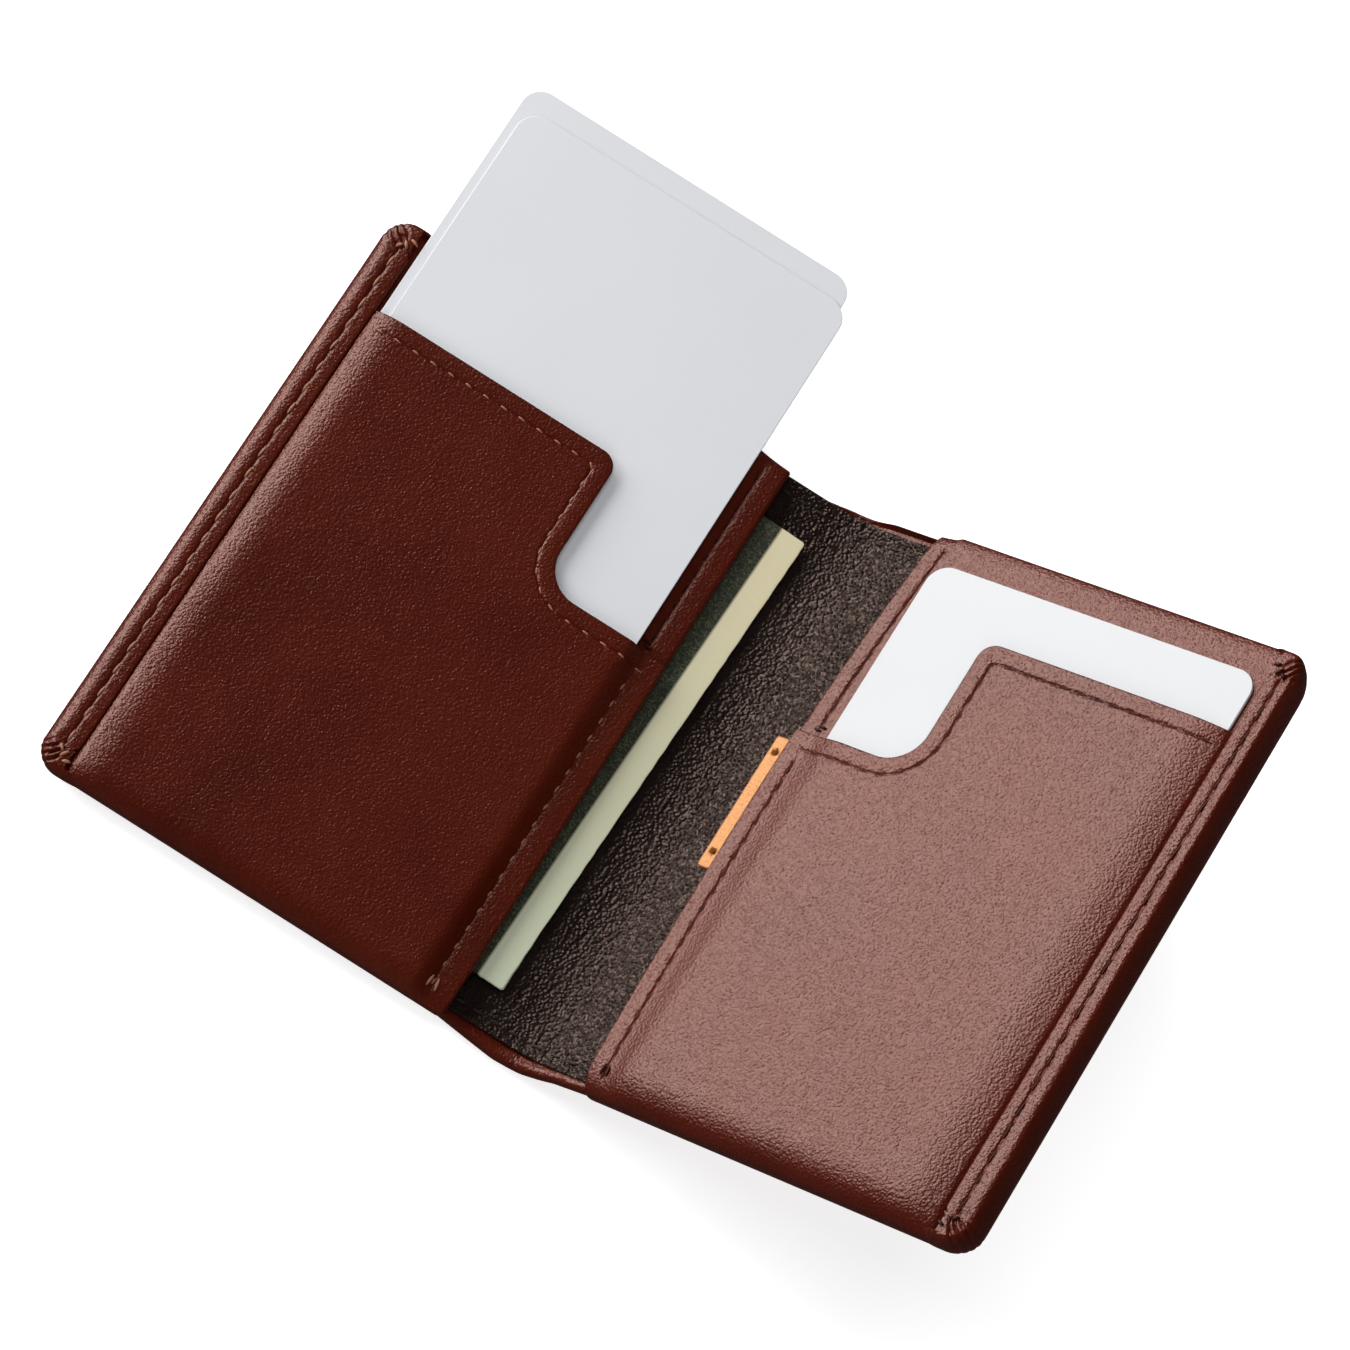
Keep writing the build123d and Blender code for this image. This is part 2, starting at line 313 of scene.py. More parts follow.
def newPiece(name, verts, faces):
    mesh = bpy.data.meshes.new(name)
    mesh.from_pydata(verts, [], faces)
    piece = bpy.data.objects.new(name, mesh)
    bpy.context.scene.collection.objects.link(piece)
    return piece


def cleanMesh(piece, sharpAngle):
    work = bmesh.new()
    work.from_mesh(piece.data)
    bmesh.ops.remove_doubles(work, verts=work.verts, dist=2e-6)
    bmesh.ops.dissolve_degenerate(work, dist=1e-7, edges=work.edges)
    bmesh.ops.recalc_face_normals(work, faces=work.faces)
    work.to_mesh(piece.data)
    work.free()
    piece.data.polygons.foreach_set("use_smooth", [True] * len(piece.data.polygons))
    piece.data.set_sharp_from_angle(angle=math.radians(sharpAngle))


def fillMiddle(ring, columns, rows, edgeStep, holes):
    # triangles between the innermost ring, a grid inside it and round holes
    size = len(ring)
    grid = np.array([(x, y) for x in columns for y in rows], float)
    grid = grid[insideRing(ring, grid)]
    gap, _ = nearestOnPath(ring, grid[:, 0], grid[:, 1])
    grid = grid[gap > 0.35 * edgeStep]
    holeRings = []
    for hx, hy, hr in holes:
        turns = np.linspace(0, math.tau, 20, endpoint=False)
        holeRings.append(np.stack([hx + hr * np.cos(turns), hy + hr * np.sin(turns)], 1))
        grid = grid[np.hypot(grid[:, 0] - hx, grid[:, 1] - hy) > hr + 0.25]
    edges = [(i, (i + 1) % size) for i in range(size)]
    holeStarts = []
    at = size + len(grid)
    for hole in holeRings:
        holeStarts.append(at)
        edges += [(at + i, at + (i + 1) % len(hole)) for i in range(len(hole))]
        at += len(hole)
    planar = np.concatenate([ring, grid] + holeRings)
    made = delaunay_2d_cdt([Vector(p) for p in planar], edges, [list(range(size))], 1, 1e-7)
    points = np.array([tuple(p) for p in made[0]])
    back = {}
    for index, origins in enumerate(made[3]):
        for origin in origins:
            back.setdefault(origin, index)
    faces = []
    for face in made[2]:
        centre = points[list(face)].mean(0)
        if not any(math.hypot(centre[0] - hx, centre[1] - hy) < hr * 0.96 for hx, hy, hr in holes):
            faces.append(tuple(face))
    holeIds = [[back[start + i] for i in range(len(hole))] for start, hole in zip(holeStarts, holeRings)]
    return points, faces, [back[i] for i in range(size)], holeIds


def shellMesh(name, side, corners, radii, insets, columns, rows, surfaces, toWorld,
              arcStep=0.35, edgeStep=0.8, holes=()):
    # A closed sheet of leather, paper or card: rings follow its outline, a grid fills its middle.
    # surfaces(side, d, v, e) gives the upper and lower heights, e being the distance to the outline,
    # and then d and v if they move.
    count = len(corners)
    arcSteps = [max(6, round(r * math.pi / 2 / arcStep)) for r in radii]
    edgeSteps = []
    for i in range(count):
        after = (i + 1) % count
        length = np.linalg.norm(np.array(corners[after]) - np.array(corners[i]))
        edgeSteps.append(max(2, round((length - radii[i] - radii[after]) / edgeStep)))
    rings = [ringPoints(corners, radii, inset, arcSteps, edgeSteps) for inset in insets]
    size = len(rings[0])
    points, middleFaces, ringIds, holeIds = fillMiddle(rings[-1], columns, rows, edgeStep, holes)
    flat = np.concatenate(rings[:-1] + [points])
    start = len(flat) - len(points)
    ringIndex = [list(range(k * size, (k + 1) * size)) for k in range(len(insets) - 1)]
    ringIndex.append([start + i for i in ringIds])
    faces = []
    for outer, inner in zip(ringIndex[:-1], ringIndex[1:]):
        for i in range(size):
            j = (i + 1) % size
            faces.append((outer[i], outer[j], inner[j], inner[i]))
    faces += [tuple(start + i for i in face) for face in middleFaces]
    d, v = flat[:, 0], flat[:, 1]
    e, _ = nearestOnPath(np.concatenate([rings[0], rings[0][:1]]), d, v)
    for index, inset in zip(ringIndex, insets):
        e[index] = inset
    upper, lower, *moved = surfaces(side, d, v, e)
    if moved:
        d, v = moved
    verts = np.concatenate([toWorld(side, d, v, upper), toWorld(side, d, v, lower)]) * mm
    n = len(flat)
    allFaces = faces + [tuple(n + i for i in reversed(face)) for face in faces]
    for i in range(size):
        a, b = ringIndex[0][i], ringIndex[0][(i + 1) % size]
        allFaces.append((b, a, n + a, n + b))
    for ids in holeIds:
        for i in range(len(ids)):
            a, b = start + ids[i], start + ids[(i + 1) % len(ids)]
            allFaces.append((a, b, n + b, n + a))
    piece = newPiece(name, verts.tolist(), allFaces)
    edgeMark = piece.data.attributes.new("edgeGap", "FLOAT", "POINT")
    edgeMark.data.foreach_set("value", np.concatenate([e, e]).astype(np.float32))
    cleanMesh(piece, 55)
    return piece


def finishPiece(piece, material, replaced, body=None):
    # a piece without a body here stays unparented; its transform is baked further down
    piece.data.materials.append(material)
    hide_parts(*replaced)
    if body:
        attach(piece, body)
    return piece


# materials
def addNode(tree, kind, at=(0, 0), **settings):
    node = tree.nodes.new(kind)
    node.location = at
    for key, value in settings.items():
        setattr(node, key, value)
    return node


def startMaterial(name):
    material = bpy.data.materials.new(name)
    material.use_nodes = True
    tree = material.node_tree
    shader = tree.nodes["Principled BSDF"]
    place = addNode(tree, "ShaderNodeTexCoord", (-1400, 0))
    return material, tree, shader, place.outputs["Object"]


def rampNode(tree, factor, stops, at=(0, 0)):
    ramp = addNode(tree, "ShaderNodeValToRGB", at)
    while len(ramp.color_ramp.elements) < len(stops):
        ramp.color_ramp.elements.new(0.5)
    for element, (position, colour) in zip(ramp.color_ramp.elements, stops):
        element.position = position
        element.color = (*colour, 1)
    tree.links.new(factor, ramp.inputs["Fac"])
    return ramp.outputs["Color"]


def noiseNode(tree, place, scale, detail=3, roughness=0.55, at=(0, 0)):
    node = addNode(tree, "ShaderNodeTexNoise", at)
    node.inputs["Scale"].default_value = scale
    node.inputs["Detail"].default_value = detail
    node.inputs["Roughness"].default_value = roughness
    tree.links.new(place, node.inputs["Vector"])
    return node.outputs["Fac"]


def cellNode(tree, place, scale, at=(0, 0)):
    node = addNode(tree, "ShaderNodeTexVoronoi", at, feature="SMOOTH_F1")
    node.inputs["Scale"].default_value = scale
    node.inputs["Smoothness"].default_value = 0.6
    tree.links.new(place, node.inputs["Vector"])
    return node.outputs["Distance"]


def mathNode(tree, operation, a, b, at=(0, 0)):
    node = addNode(tree, "ShaderNodeMath", at, operation=operation)
    for socket, value in zip(node.inputs, (a, b)):
        if isinstance(value, (int, float)):
            socket.default_value = value
        else:
            tree.links.new(value, socket)
    return node.outputs[0]


def mixColour(tree, factor, a, b, at=(0, 0)):
    node = addNode(tree, "ShaderNodeMix", at, data_type="RGBA")
    pairs = ((node.inputs["Factor"], factor), (node.inputs[6], a), (node.inputs[7], b))
    for socket, value in pairs:
        if isinstance(value, (int, float)):
            socket.default_value = value
        elif isinstance(value, tuple):
            socket.default_value = (*value, 1)
        else:
            tree.links.new(value, socket)
    return node.outputs[2]


def bumpNode(tree, height, distance, strength, at, under=None):
    # a negative distance presses the high parts in
    node = addNode(tree, "ShaderNodeBump", at)
    node.invert = distance < 0
    node.inputs["Strength"].default_value = strength
    node.inputs["Distance"].default_value = abs(distance)
    tree.links.new(height, node.inputs["Height"])
    if under is not None:
        tree.links.new(under, node.inputs["Normal"])
    return node.outputs["Normal"]


def edgeFactor(tree, reach, strength, at):
    # strength at a piece's edge, fading to nothing over reach mm
    edge = addNode(tree, "ShaderNodeAttribute", at, attribute_name="edgeGap")
    fade = addNode(tree, "ShaderNodeMapRange", (at[0] + 250, at[1]))
    for socket, value in (("From Max", reach), ("To Min", strength), ("To Max", 0.0)):
        fade.inputs[socket].default_value = value
    tree.links.new(edge.outputs["Fac"], fade.inputs["Value"])
    return fade.outputs["Result"]


def finishShader(tree, shader, colour, normal, roughness, specular=0.5):
    tree.links.new(colour, shader.inputs["Base Color"])
    tree.links.new(normal, shader.inputs["Normal"])
    shader.inputs["Roughness"].default_value = roughness
    shader.inputs["Specular IOR Level"].default_value = specular


def shade(colour, factor):
    return tuple(c * factor for c in colour)


leatherValues = {  # what both leathers share
    "cloudScale": 55, "speck": 0.35, "edgeReach": 0.45, "edgeStrength": 0.75,
    "slowScale": 240, "slowDepth": 0.00025, "creaseScale": 1500, "creaseStretch": 0.22,
}
brownLeatherValues = {
    "dark": (0.052, 0.0042, 0.0008), "base": (0.068, 0.0058, 0.0009), "warm": (0.080, 0.0080, 0.0014),
    "edge": (0.034, 0.0034, 0.0012), "pebbleScale": 2500, "pebbleDepth": 0.000112,
    "poreScale": 3600, "poreDepth": 0.000104, "creaseDepth": 0.0,
    "roughness": (0.30, 0.34), "specular": 0.64, "tint": (1.0, 0.66, 0.57),
}
liningLeatherValues = {
    "dark": (0.006, 0.0040, 0.0036), "base": (0.013, 0.0085, 0.0075), "warm": (0.022, 0.0150, 0.0130),
    "edge": (0.020, 0.013, 0.011), "pebbleScale": 2100, "pebbleDepth": 0.00044,
    "poreScale": 3400, "poreDepth": 0.00008, "creaseDepth": 0.00008,
    "roughness": (0.24, 0.34), "specular": 0.42, "tint": (1.0, 0.68, 0.54),
}


def makeLeather(name, values):
    shared = leatherValues
    material, tree, shader, place = startMaterial(name)
    cloud = noiseNode(tree, place, shared["cloudScale"], 4, 0.6, (-1100, 300))
    stops = [(0.30, values["dark"]), (0.52, values["base"]), (0.75, values["warm"])]
    colour = rampNode(tree, cloud, stops, (-850, 300))
    speck = noiseNode(tree, place, values["poreScale"] * 0.5, 2, 0.6, (-1100, 500))
    speck = mathNode(tree, "MULTIPLY", speck, shared["speck"], (-800, 520))
    colour = mixColour(tree, speck, colour, values["dark"], (-560, 330))
    nearEdge = edgeFactor(tree, shared["edgeReach"], shared["edgeStrength"], (-1100, 720))
    colour = mixColour(tree, nearEdge, colour, values["edge"], (-320, 360))
    slow = noiseNode(tree, place, shared["slowScale"], 3, 0.5, (-1100, -600))
    normal = bumpNode(tree, slow, shared["slowDepth"], 0.35, (-700, -600))
    if values["creaseDepth"]:
        # long creases that run along the spine
        stretch = addNode(tree, "ShaderNodeMapping", (-1250, -850))
        stretch.inputs["Scale"].default_value = (1.0, shared["creaseStretch"], 1.0)
        tree.links.new(place, stretch.inputs["Vector"])
        crease = noiseNode(tree, stretch.outputs["Vector"], shared["creaseScale"], 2, 0.5, (-1050, -850))
        normal = bumpNode(tree, crease, values["creaseDepth"], 1.0, (-600, -850), normal)
    pebble = cellNode(tree, place, values["pebbleScale"], (-1100, -100))
    normal = bumpNode(tree, pebble, -values["pebbleDepth"], 0.8, (-500, -300), normal)
    pore = noiseNode(tree, place, values["poreScale"], 2, 0.6, (-1100, -350))
    normal = bumpNode(tree, pore, values["poreDepth"], 0.8, (-300, -300), normal)
    finishShader(tree, shader, colour, normal, values["roughness"][0], values["specular"])
    shader.inputs["Specular Tint"].default_value = (*values["tint"], 1)
    rough = addNode(tree, "ShaderNodeMapRange", (-600, 60))
    rough.inputs["To Min"].default_value = values["roughness"][0]
    rough.inputs["To Max"].default_value = values["roughness"][1]
    tree.links.new(cloud, rough.inputs["Value"])
    tree.links.new(rough.outputs["Result"], shader.inputs["Roughness"])
    return material


brownLeather = makeLeather("brownLeather", brownLeatherValues)
liningLeather = makeLeather("liningLeather", liningLeatherValues)

# one and the same thread in two colours: the left wing's copy is lighter, a painted highlight for the glints
# of light raking in from the left; the right wing's copy is near black, painted shade of its stitch grooves;
# the lining thread keeps its own colour
threadValues = {
    "left": (0.34, 0.15, 0.090), "right": (0.035, 0.005, 0.002), "lining": (0.030, 0.020, 0.017),
    "roughness": 0.5, "specular": 0.25, "fibreScale": 9000, "fibreDepth": 0.00004,
}


def makeThread(name, colour):
    material, tree, shader, place = startMaterial(name)
    fibre = noiseNode(tree, place, threadValues["fibreScale"], 2, 0.5, (-900, 0))
    tone = rampNode(tree, fibre, [(0.3, shade(colour, 0.6)), (0.7, shade(colour, 1.25))], (-650, 200))
    normal = bumpNode(tree, fibre, threadValues["fibreDepth"], 0.7, (-400, -200))
    finishShader(tree, shader, tone, normal, threadValues["roughness"], threadValues["specular"])
    return material


threads = {
    "left": makeThread("paintedGlintThread", threadValues["left"]),
    "right": makeThread("paintedShadeThread", threadValues["right"]),
    "lining": makeThread("liningThread", threadValues["lining"]),
}

tanValues = {
    "dark": (0.42, 0.15, 0.045), "base": (0.72, 0.31, 0.095), "light": (0.72, 0.36, 0.14),
    "edge": (0.22, 0.075, 0.022), "roughness": 0.62,
    "fineScale": 2600, "fineDepth": 0.00010, "slowScale": 320,
}


def makeTan():
    values = tanValues
    material, tree, shader, place = startMaterial("tanLeather")
    fine = noiseNode(tree, place, values["fineScale"], 4, 0.65, (-900, 100))
    slow = noiseNode(tree, place, values["slowScale"], 3, 0.5, (-900, 350))
    stops = [(0.25, values["dark"]), (0.55, values["base"]), (0.8, values["light"])]
    colour = rampNode(tree, fine, stops, (-650, 200))
    slow = mathNode(tree, "MULTIPLY", slow, 0.35, (-600, 420))
    colour = mixColour(tree, slow, colour, values["base"], (-400, 250))
    colour = mixColour(tree, edgeFactor(tree, 0.35, 0.8, (-900, 620)), colour, values["edge"], (-200, 300))
    normal = bumpNode(tree, fine, values["fineDepth"], 0.7, (-400, -200))
    finishShader(tree, shader, colour, normal, values["roughness"])
    return material


tanLeather = makeTan()

cardFinish = {"slowScale": 30, "fineScale": 6000, "fineDepth": 0.000008, "edgeReach": 0.05, "specular": 0.4}


def makeCard(name, face, side, roughness):
    material, tree, shader, place = startMaterial(name)
    slow = noiseNode(tree, place, cardFinish["slowScale"], 2, 0.5, (-900, 200))
    fine = noiseNode(tree, place, cardFinish["fineScale"], 2, 0.5, (-900, -100))
    colour = rampNode(tree, slow, [(0.35, shade(face, 0.97)), (0.65, face)], (-650, 250))
    nearEdge = edgeFactor(tree, cardFinish["edgeReach"], 1.0, (-900, 520))
    colour = mixColour(tree, nearEdge, colour, side, (-200, 300))
    normal = bumpNode(tree, fine, cardFinish["fineDepth"], 0.5, (-400, -100))
    finishShader(tree, shader, colour, normal, roughness, cardFinish["specular"])
    return material


greyCard = makeCard("greyCard", (0.71, 0.72, 0.75), (0.86, 0.84, 0.66), 0.5)
# the front card's edge colour is painted shade: darker than its face so that its lit edge looks no brighter
# than the face
greyCardShadedEdge = makeCard("greyCardShadedEdge", (0.71, 0.72, 0.75), (0.34, 0.35, 0.36), 0.5)
whiteCard = makeCard("whiteCard", (0.51, 0.515, 0.525), (0.84, 0.83, 0.78), 0.45)

# outer leather: bottom skin, turned border and pleated corners, split at the middle of the spine
# a span says where a change starts and over what length it comes
coverValues = {
    "thickness": 1.1, "skinLevel": 0.85, "borderSpan": (62.5, 4.2),
    "endExtra": 0.3, "endExtraSpan": (44.6, 0.5),
    "rimHeight": 1.85, "rimRise": 1.0, "rimRiseSpan": (-5.0, 6.0),
    "rimStart": {"low": 45.3, "top": 46.7}, "rimOver": {"low": 1.2, "top": 0.5},
    "endSpan": (42.5, 3.5), "spreadSpan": (41, 6.5), "slimSpan": (69.0, 3.1), "pleatCentre": 5.8,
    "beadRadius": {"left": 2.3, "right": 1.3}, "lowRadius": {"left": 2.3, "right": 3.1},
    "outerLevel": {"left": 2.5, "right": 3.7}, "cutDepth": 0.30, "unevenness": 0.10,
    "furrowDepth": 0.30, "furrowWidth": 0.17, "underFurrow": 0.28, "pucker": 0.14,
    "pleats": (-0.75, 0.2, 1.15, 2.1), "pleatWidth": 0.2, "pleatDepth": 0.42, "pleatPull": 0.12,
    "flapLift": {"left": 0.0, "right": -0.25},
}
foldedEdge = wings["left"]["far"]
borderLine = wings["left"]["width"] - layout["borderSeam"]
borderReach = wings["left"]["half"] - 4.2
borderPath = densePath([(borderLine, -borderReach), (borderLine, borderReach)], [])
borderPitch = layout["borderPitch"]


def outerGap(side, d, v):
    # distance to the outer outline, which is open towards the spine
    wing = wings[side]
    r = layout["cornerRadius"]
    qx = d - (wing["width"] - r)
    qy = np.abs(v) - (wing["half"] - r)
    outside = np.hypot(np.maximum(qx, 0), np.maximum(qy, 0))
    return r - outside - np.minimum(np.maximum(qx, qy), 0)


def cornerPleats(side, d, v):
    # folds of gathered leather, all running out to the corner side by side
    wing = wings[side]
    x = d - (wing["width"] - 3.6)
    y = np.abs(v) - (wing["half"] - 3.6)
    outwards, sideways = (x + y) / math.sqrt(2), (x - y) / math.sqrt(2)
    groove = np.zeros_like(d)
    for k, pleat in enumerate(coverValues["pleats"]):
        wander = 0.13 * np.sin(outwards * 1.9 + k + 2 * (v > 0))
        groove += np.exp(-((sideways - pleat - wander) / coverValues["pleatWidth"]) ** 2)
    fade = smooth((x + 0.2) / 0.8) * smooth((outwards + 1.2) / 1.0)
    return np.clip(groove, 0, 1) * fade


def coverSurfaces(side, d, v, e):
    # e is left unused: this outline is open towards the spine, so outerGap stands in for it
    wing = wings[side]
    values = coverValues
    gap = np.clip(outerGap(side, d, v), 0, None)
    towardsBead = ramp(d, values["borderSpan"])
    bead = d > foldedEdge - 0.02
    # the turned border, pressed down and puckered by its stitches
    furrow = seamFurrow(borderPath, borderPitch, values["furrowDepth"], values["furrowWidth"], d, v)
    dips = np.minimum(values["unevenness"] * waves(d, v, 2.2, 11), 0)
    ripple = np.sin(v * math.tau / borderPitch * 2 + 1.5 * np.sin(v * 0.7))
    across = np.exp(-((d - borderLine) / 1.3) ** 2) * ripple
    beadTop = wing["flapTop"] + values["flapLift"][side] - furrow + dips
    beadTop = beadTop - values["pucker"] * np.maximum(across, 0)
    cutEdge = np.clip((d - foldedEdge) / 0.3, 0, 1)
    beadTop = beadTop - values["cutDepth"] * (1 - np.sqrt(np.clip(1 - (1 - cutEdge) ** 2, 0, 1)))
    # the plain skin, a little thicker along both ends
    rimTop = values["rimHeight"] + (wing["flapTop"] - values["rimHeight"]) * towardsBead
    rim = values["thickness"] + values["endExtra"] * ramp(np.abs(v), values["endExtraSpan"])
    if side == "right":
        rimTop = rimTop + values["rimRise"] * ramp(d, values["rimRiseSpan"]) * (v > 0) * (1 - towardsBead)
    rimStart = np.where(v > 0, values["rimStart"]["top"], values["rimStart"]["low"])
    rimOver = np.where(v > 0, values["rimOver"]["top"], values["rimOver"]["low"])
    rim = rim + (rimTop - rim) * smooth((np.abs(v) - rimStart) / rimOver)
    upper = np.where(bead, beadTop, rim)
    # the rolled outer edge: its widest line, and how round it is above and below that
    atEnd = ramp(np.abs(v), values["endSpan"])
    level = values["outerLevel"][side]
    level = level + (byEnd("cornerLevel", side, v) - level) * atEnd
    middle = values["skinLevel"] + (level - values["skinLevel"]) * towardsBead
    topRadius = 1.0 + (values["beadRadius"][side] - 1.0) * towardsBead * (1 - 0.35 * atEnd)
    lowRadius = 0.9 + (values["lowRadius"][side] - 0.9) * towardsBead
    pleat = cornerPleats(side, d, v)
    upper = middle + (upper - values["pleatDepth"] * pleat * bead - middle) * roundOff(gap, topRadius)
    lower = middle - middle * roundOff(gap, lowRadius)
    underLine = np.exp(-((d - borderLine) / 0.5) ** 2) * smooth((44.5 - np.abs(v)) / 1.0)
    lower = lower + values["underFurrow"] * underLine
    # the pleats notch the rounded edge a little, and the skin is tucked in along both ends of a wing
    x, y = d - (wing["width"] - values["pleatCentre"]), np.abs(v) - (wing["half"] - values["pleatCentre"])
    reach = np.maximum(np.hypot(x, y), 0.1)
    pull = values["pleatPull"] * pleat * smooth((2.4 - gap) / 2.4)
    s = -d if side == "left" else sheetLength + d
    half = np.where(v > 0, np.interp(s, *layout["rimTop"]), np.interp(s, *layout["rimLow"]))
    half = half + (byEnd("cornerHalf", side, v) - half) * towardsBead
    spread = (half - wing["half"]) * ramp(np.abs(v), values["spreadSpan"])
    slim = 0.0 if side == "left" else -0.05 - 0.011 * (v + 20)   # the right wing narrows towards its top
    outwards = slim * ramp(d, values["slimSpan"])
    return upper, lower, d + outwards - pull * x / reach, v + (spread - pull * y / reach) * np.sign(v)


# rings are closest together at the stitches and where the border's leather is cut
coverInsets = [
    0, 0.07, 0.2, 0.35, 0.5, 0.65, 0.8, 1.05, 1.4, 1.8, 2.2, 2.5, 2.75, 2.92, 3.02, 3.1, 3.18, 3.28,
    3.45, 3.75, 4.1, 4.5, 4.85, 5.05, 5.15, 5.2, 5.26, 6.2,
]
outerPieces = {}
spineEnd = -midSheet
for side in ("left", "right"):
    width, half, radius = wings[side]["width"], wings[side]["half"], layout["cornerRadius"]
    corners = [(spineEnd, -half), (width, -half), (width, half), (spineEnd, half)]
    columns = np.concatenate([np.arange(spineEnd + 6.5, 10, 0.8), np.arange(10, 66, 1.5)])
    piece = shellMesh(
        "outerLeather_" + side, side, corners, [0.2, radius, radius, 0.2], coverInsets, columns,
        np.arange(-41, 41.1, 1.5), coverSurfaces, sheetToWorld, arcStep=0.2, edgeStep=0.7)
    outerPieces[side] = finishPiece(piece, brownLeather, ["cover_" + side, "cover_spine"])
print("outer leather made")

# lining of the note compartment
liningShape = {
    "skin": 0.45, "endLift": 0.28, "endSpan": (43.6, 1.2), "crease": 0.10, "pleat": 0.16,
    "pleatLine": 43.4, "pleatReach": 2.6, "seamDepth": 0.16, "topReach": 1.55, "topSpan": (38, 7),
}


def liningSurfaces(side, d, v, e):
    s = -d if side == "left" else sheetLength + d
    values = liningShape
    upper = liningFace + values["endLift"] * ramp(np.abs(v), values["endSpan"]) + 0 * d
    # creases lie along the spine, and short pleats cross its two ends
    valley = smooth((s + 1.0) / 3.0) * smooth((sheetLength + 4.5 - s) / 4.0)
    wander = 0.8 * np.sin(v * 0.21 + 1.3) + 0.5 * np.sin(v * 0.57)
    crease = np.sin((s + wander) * 3.3) * 0.5 + np.sin((s + 0.6 * wander) * 5.9 + 1.1) * 0.35
    crease = crease * (0.55 + 0.45 * np.sin(v * 0.33 + s * 0.8))
    upper = upper + values["crease"] * crease * valley
    pleat = np.maximum(0, np.sin(s * 3.9 + 0.7 * np.sin(v * 0.9))) ** 2
    nearEnd = np.exp(-((np.abs(v) - values["pleatLine"]) / values["pleatReach"]) ** 2)
    upper = upper + values["pleat"] * pleat * nearEnd * valley
    upper = upper - values["seamDepth"] * np.exp(-((np.abs(v) - layout["liningSeam"]) / 0.5) ** 2)
    lower = upper - values["skin"]
    middle = (upper + lower) / 2
    gap = np.minimum(layout["liningHalf"] - np.abs(v), layout["liningFar"] - d)
    shape = roundOff(np.clip(gap, 0, None), 0.2)
    return middle + (upper - middle) * shape, middle - (middle - lower) * shape


def liningToWorld(side, d, v, h):
    return sheetToWorld(side, d, v + liningShape["topReach"] * ramp(v, liningShape["topSpan"]), h)


liningPieces = {}
for side in ("left", "right"):
    half, far = layout["liningHalf"], layout["liningFar"]
    corners = [(spineEnd, -half), (far, -half), (far, half), (spineEnd, half)]
    columns = np.concatenate([np.arange(spineEnd + 0.3, 8.5, 0.3), np.arange(9, 68, 2.4)])
    rows = np.concatenate([np.arange(-44.6, -40, 0.45), np.arange(-40, 40, 1.0), np.arange(40, 44.8, 0.45)])
    piece = shellMesh(
        "compartmentLining_" + side, side, corners, [0.2] * 4, [0, 0.08, 0.2], columns, rows,
        liningSurfaces, liningToWorld, edgeStep=0.45)
    replaced = ["lining_" + side, "lining_spine"]
    liningPieces[side] = finishPiece(piece, liningLeather, replaced)
print("lining made")

# carriers: the panels that close the note compartment
panelInsets = [
    0, 0.05, 0.14, 0.28, 0.5, 0.8, 1.2, 1.7, 2.1, 2.38, 2.54, 2.63, 2.7, 2.77, 2.86, 3.02, 3.3, 3.8, 4.6, 5.6,
]
hemLine = wings["left"]["near"] + layout["seamInset"]
hemPath = densePath([(hemLine, layout["notchFloor"] + 1.4), (hemLine, 44.6)], [])
seamPitch = layout["seamPitch"]
carrierValues = {
    "endRadius": 2.2, "edgeRadius": 0.45, "hemPuff": {"left": 0.2, "right": 0.04},
    "furrowDepth": 0.26, "furrowWidth": 0.14, "unevenness": 0.05, "lowEndHidden": 0.6,
}


def turnedEnd(upper, lower, clear, level, radius):
    # a panel's end rolls over: out to its widest line, then back in under itself
    foot = layout["footHeight"]
    upper = level + (upper - level) * roundOff(clear, radius)
    under = level - (level - foot) * roundOff(clear, 1.0)
    lower = np.where(clear < 1.2, under, foot + (lower - foot) * smooth((clear - 1.2) / 1.2))
    return upper, np.minimum(lower, upper - 0.02)


def nearCorner(side, d, v):
    # a panel's top end sits lower beside its free edge
    return (1 - smooth((d - wings[side]["near"]) / 6.0)) * (v > 0)


def spreadEnd(side, d, v):
    # moves the flat outline's ends out to where they really lie
    half = byEnd("endHalf", side, v) - layout["nearDrop"][side][0] * nearCorner(side, d, v)
    return v + np.sign(v) * (half - layout["panelHalf"]) * smooth((np.abs(v) - 40) / 6.9)


def carrierSurfaces(side, d, v, e):
    wing = wings[side]
    values = carrierValues
    clear = layout["panelHalf"] - np.abs(v)
    aboveNotch = smooth((v - layout["notchFloor"]) / 1.5)
    hem = smooth((hemLine - d) / 0.8) * aboveNotch
    upper = wing["carrierTop"] + values["hemPuff"][side] * hem * (1 + 0.5 * waves(d, v, 1.6, 5))
    furrow = seamFurrow(hemPath, seamPitch, values["furrowDepth"], values["furrowWidth"], d, v)
    upper = upper - aboveNotch * furrow
    upper = upper + values["unevenness"] * waves(d, v, 7.0, 3) * aboveNotch * smooth((d - 10) / 3)
    lower = wing["carrierBase"] + 0 * d
    # the low end stays hidden under the pocket's own turned end
    hidden = np.where(v > 0, 0.0, values["lowEndHidden"])
    level = byEnd("endLevel", side, v) - hidden - layout["nearDrop"][side][1] * nearCorner(side, d, v)
    upper, lower = turnedEnd(upper, lower, clear, level, values["endRadius"])
    middle = (upper + lower) / 2
    # along the free edge only: the ends are already rounded
    shape = roundOff(d - wing["near"] + 0.02, values["edgeRadius"])
    moved = spreadEnd(side, d, v) + hidden * smooth(-(v + 40) / 6)
    return middle + (upper - middle) * shape, middle - (middle - lower) * shape, d, moved


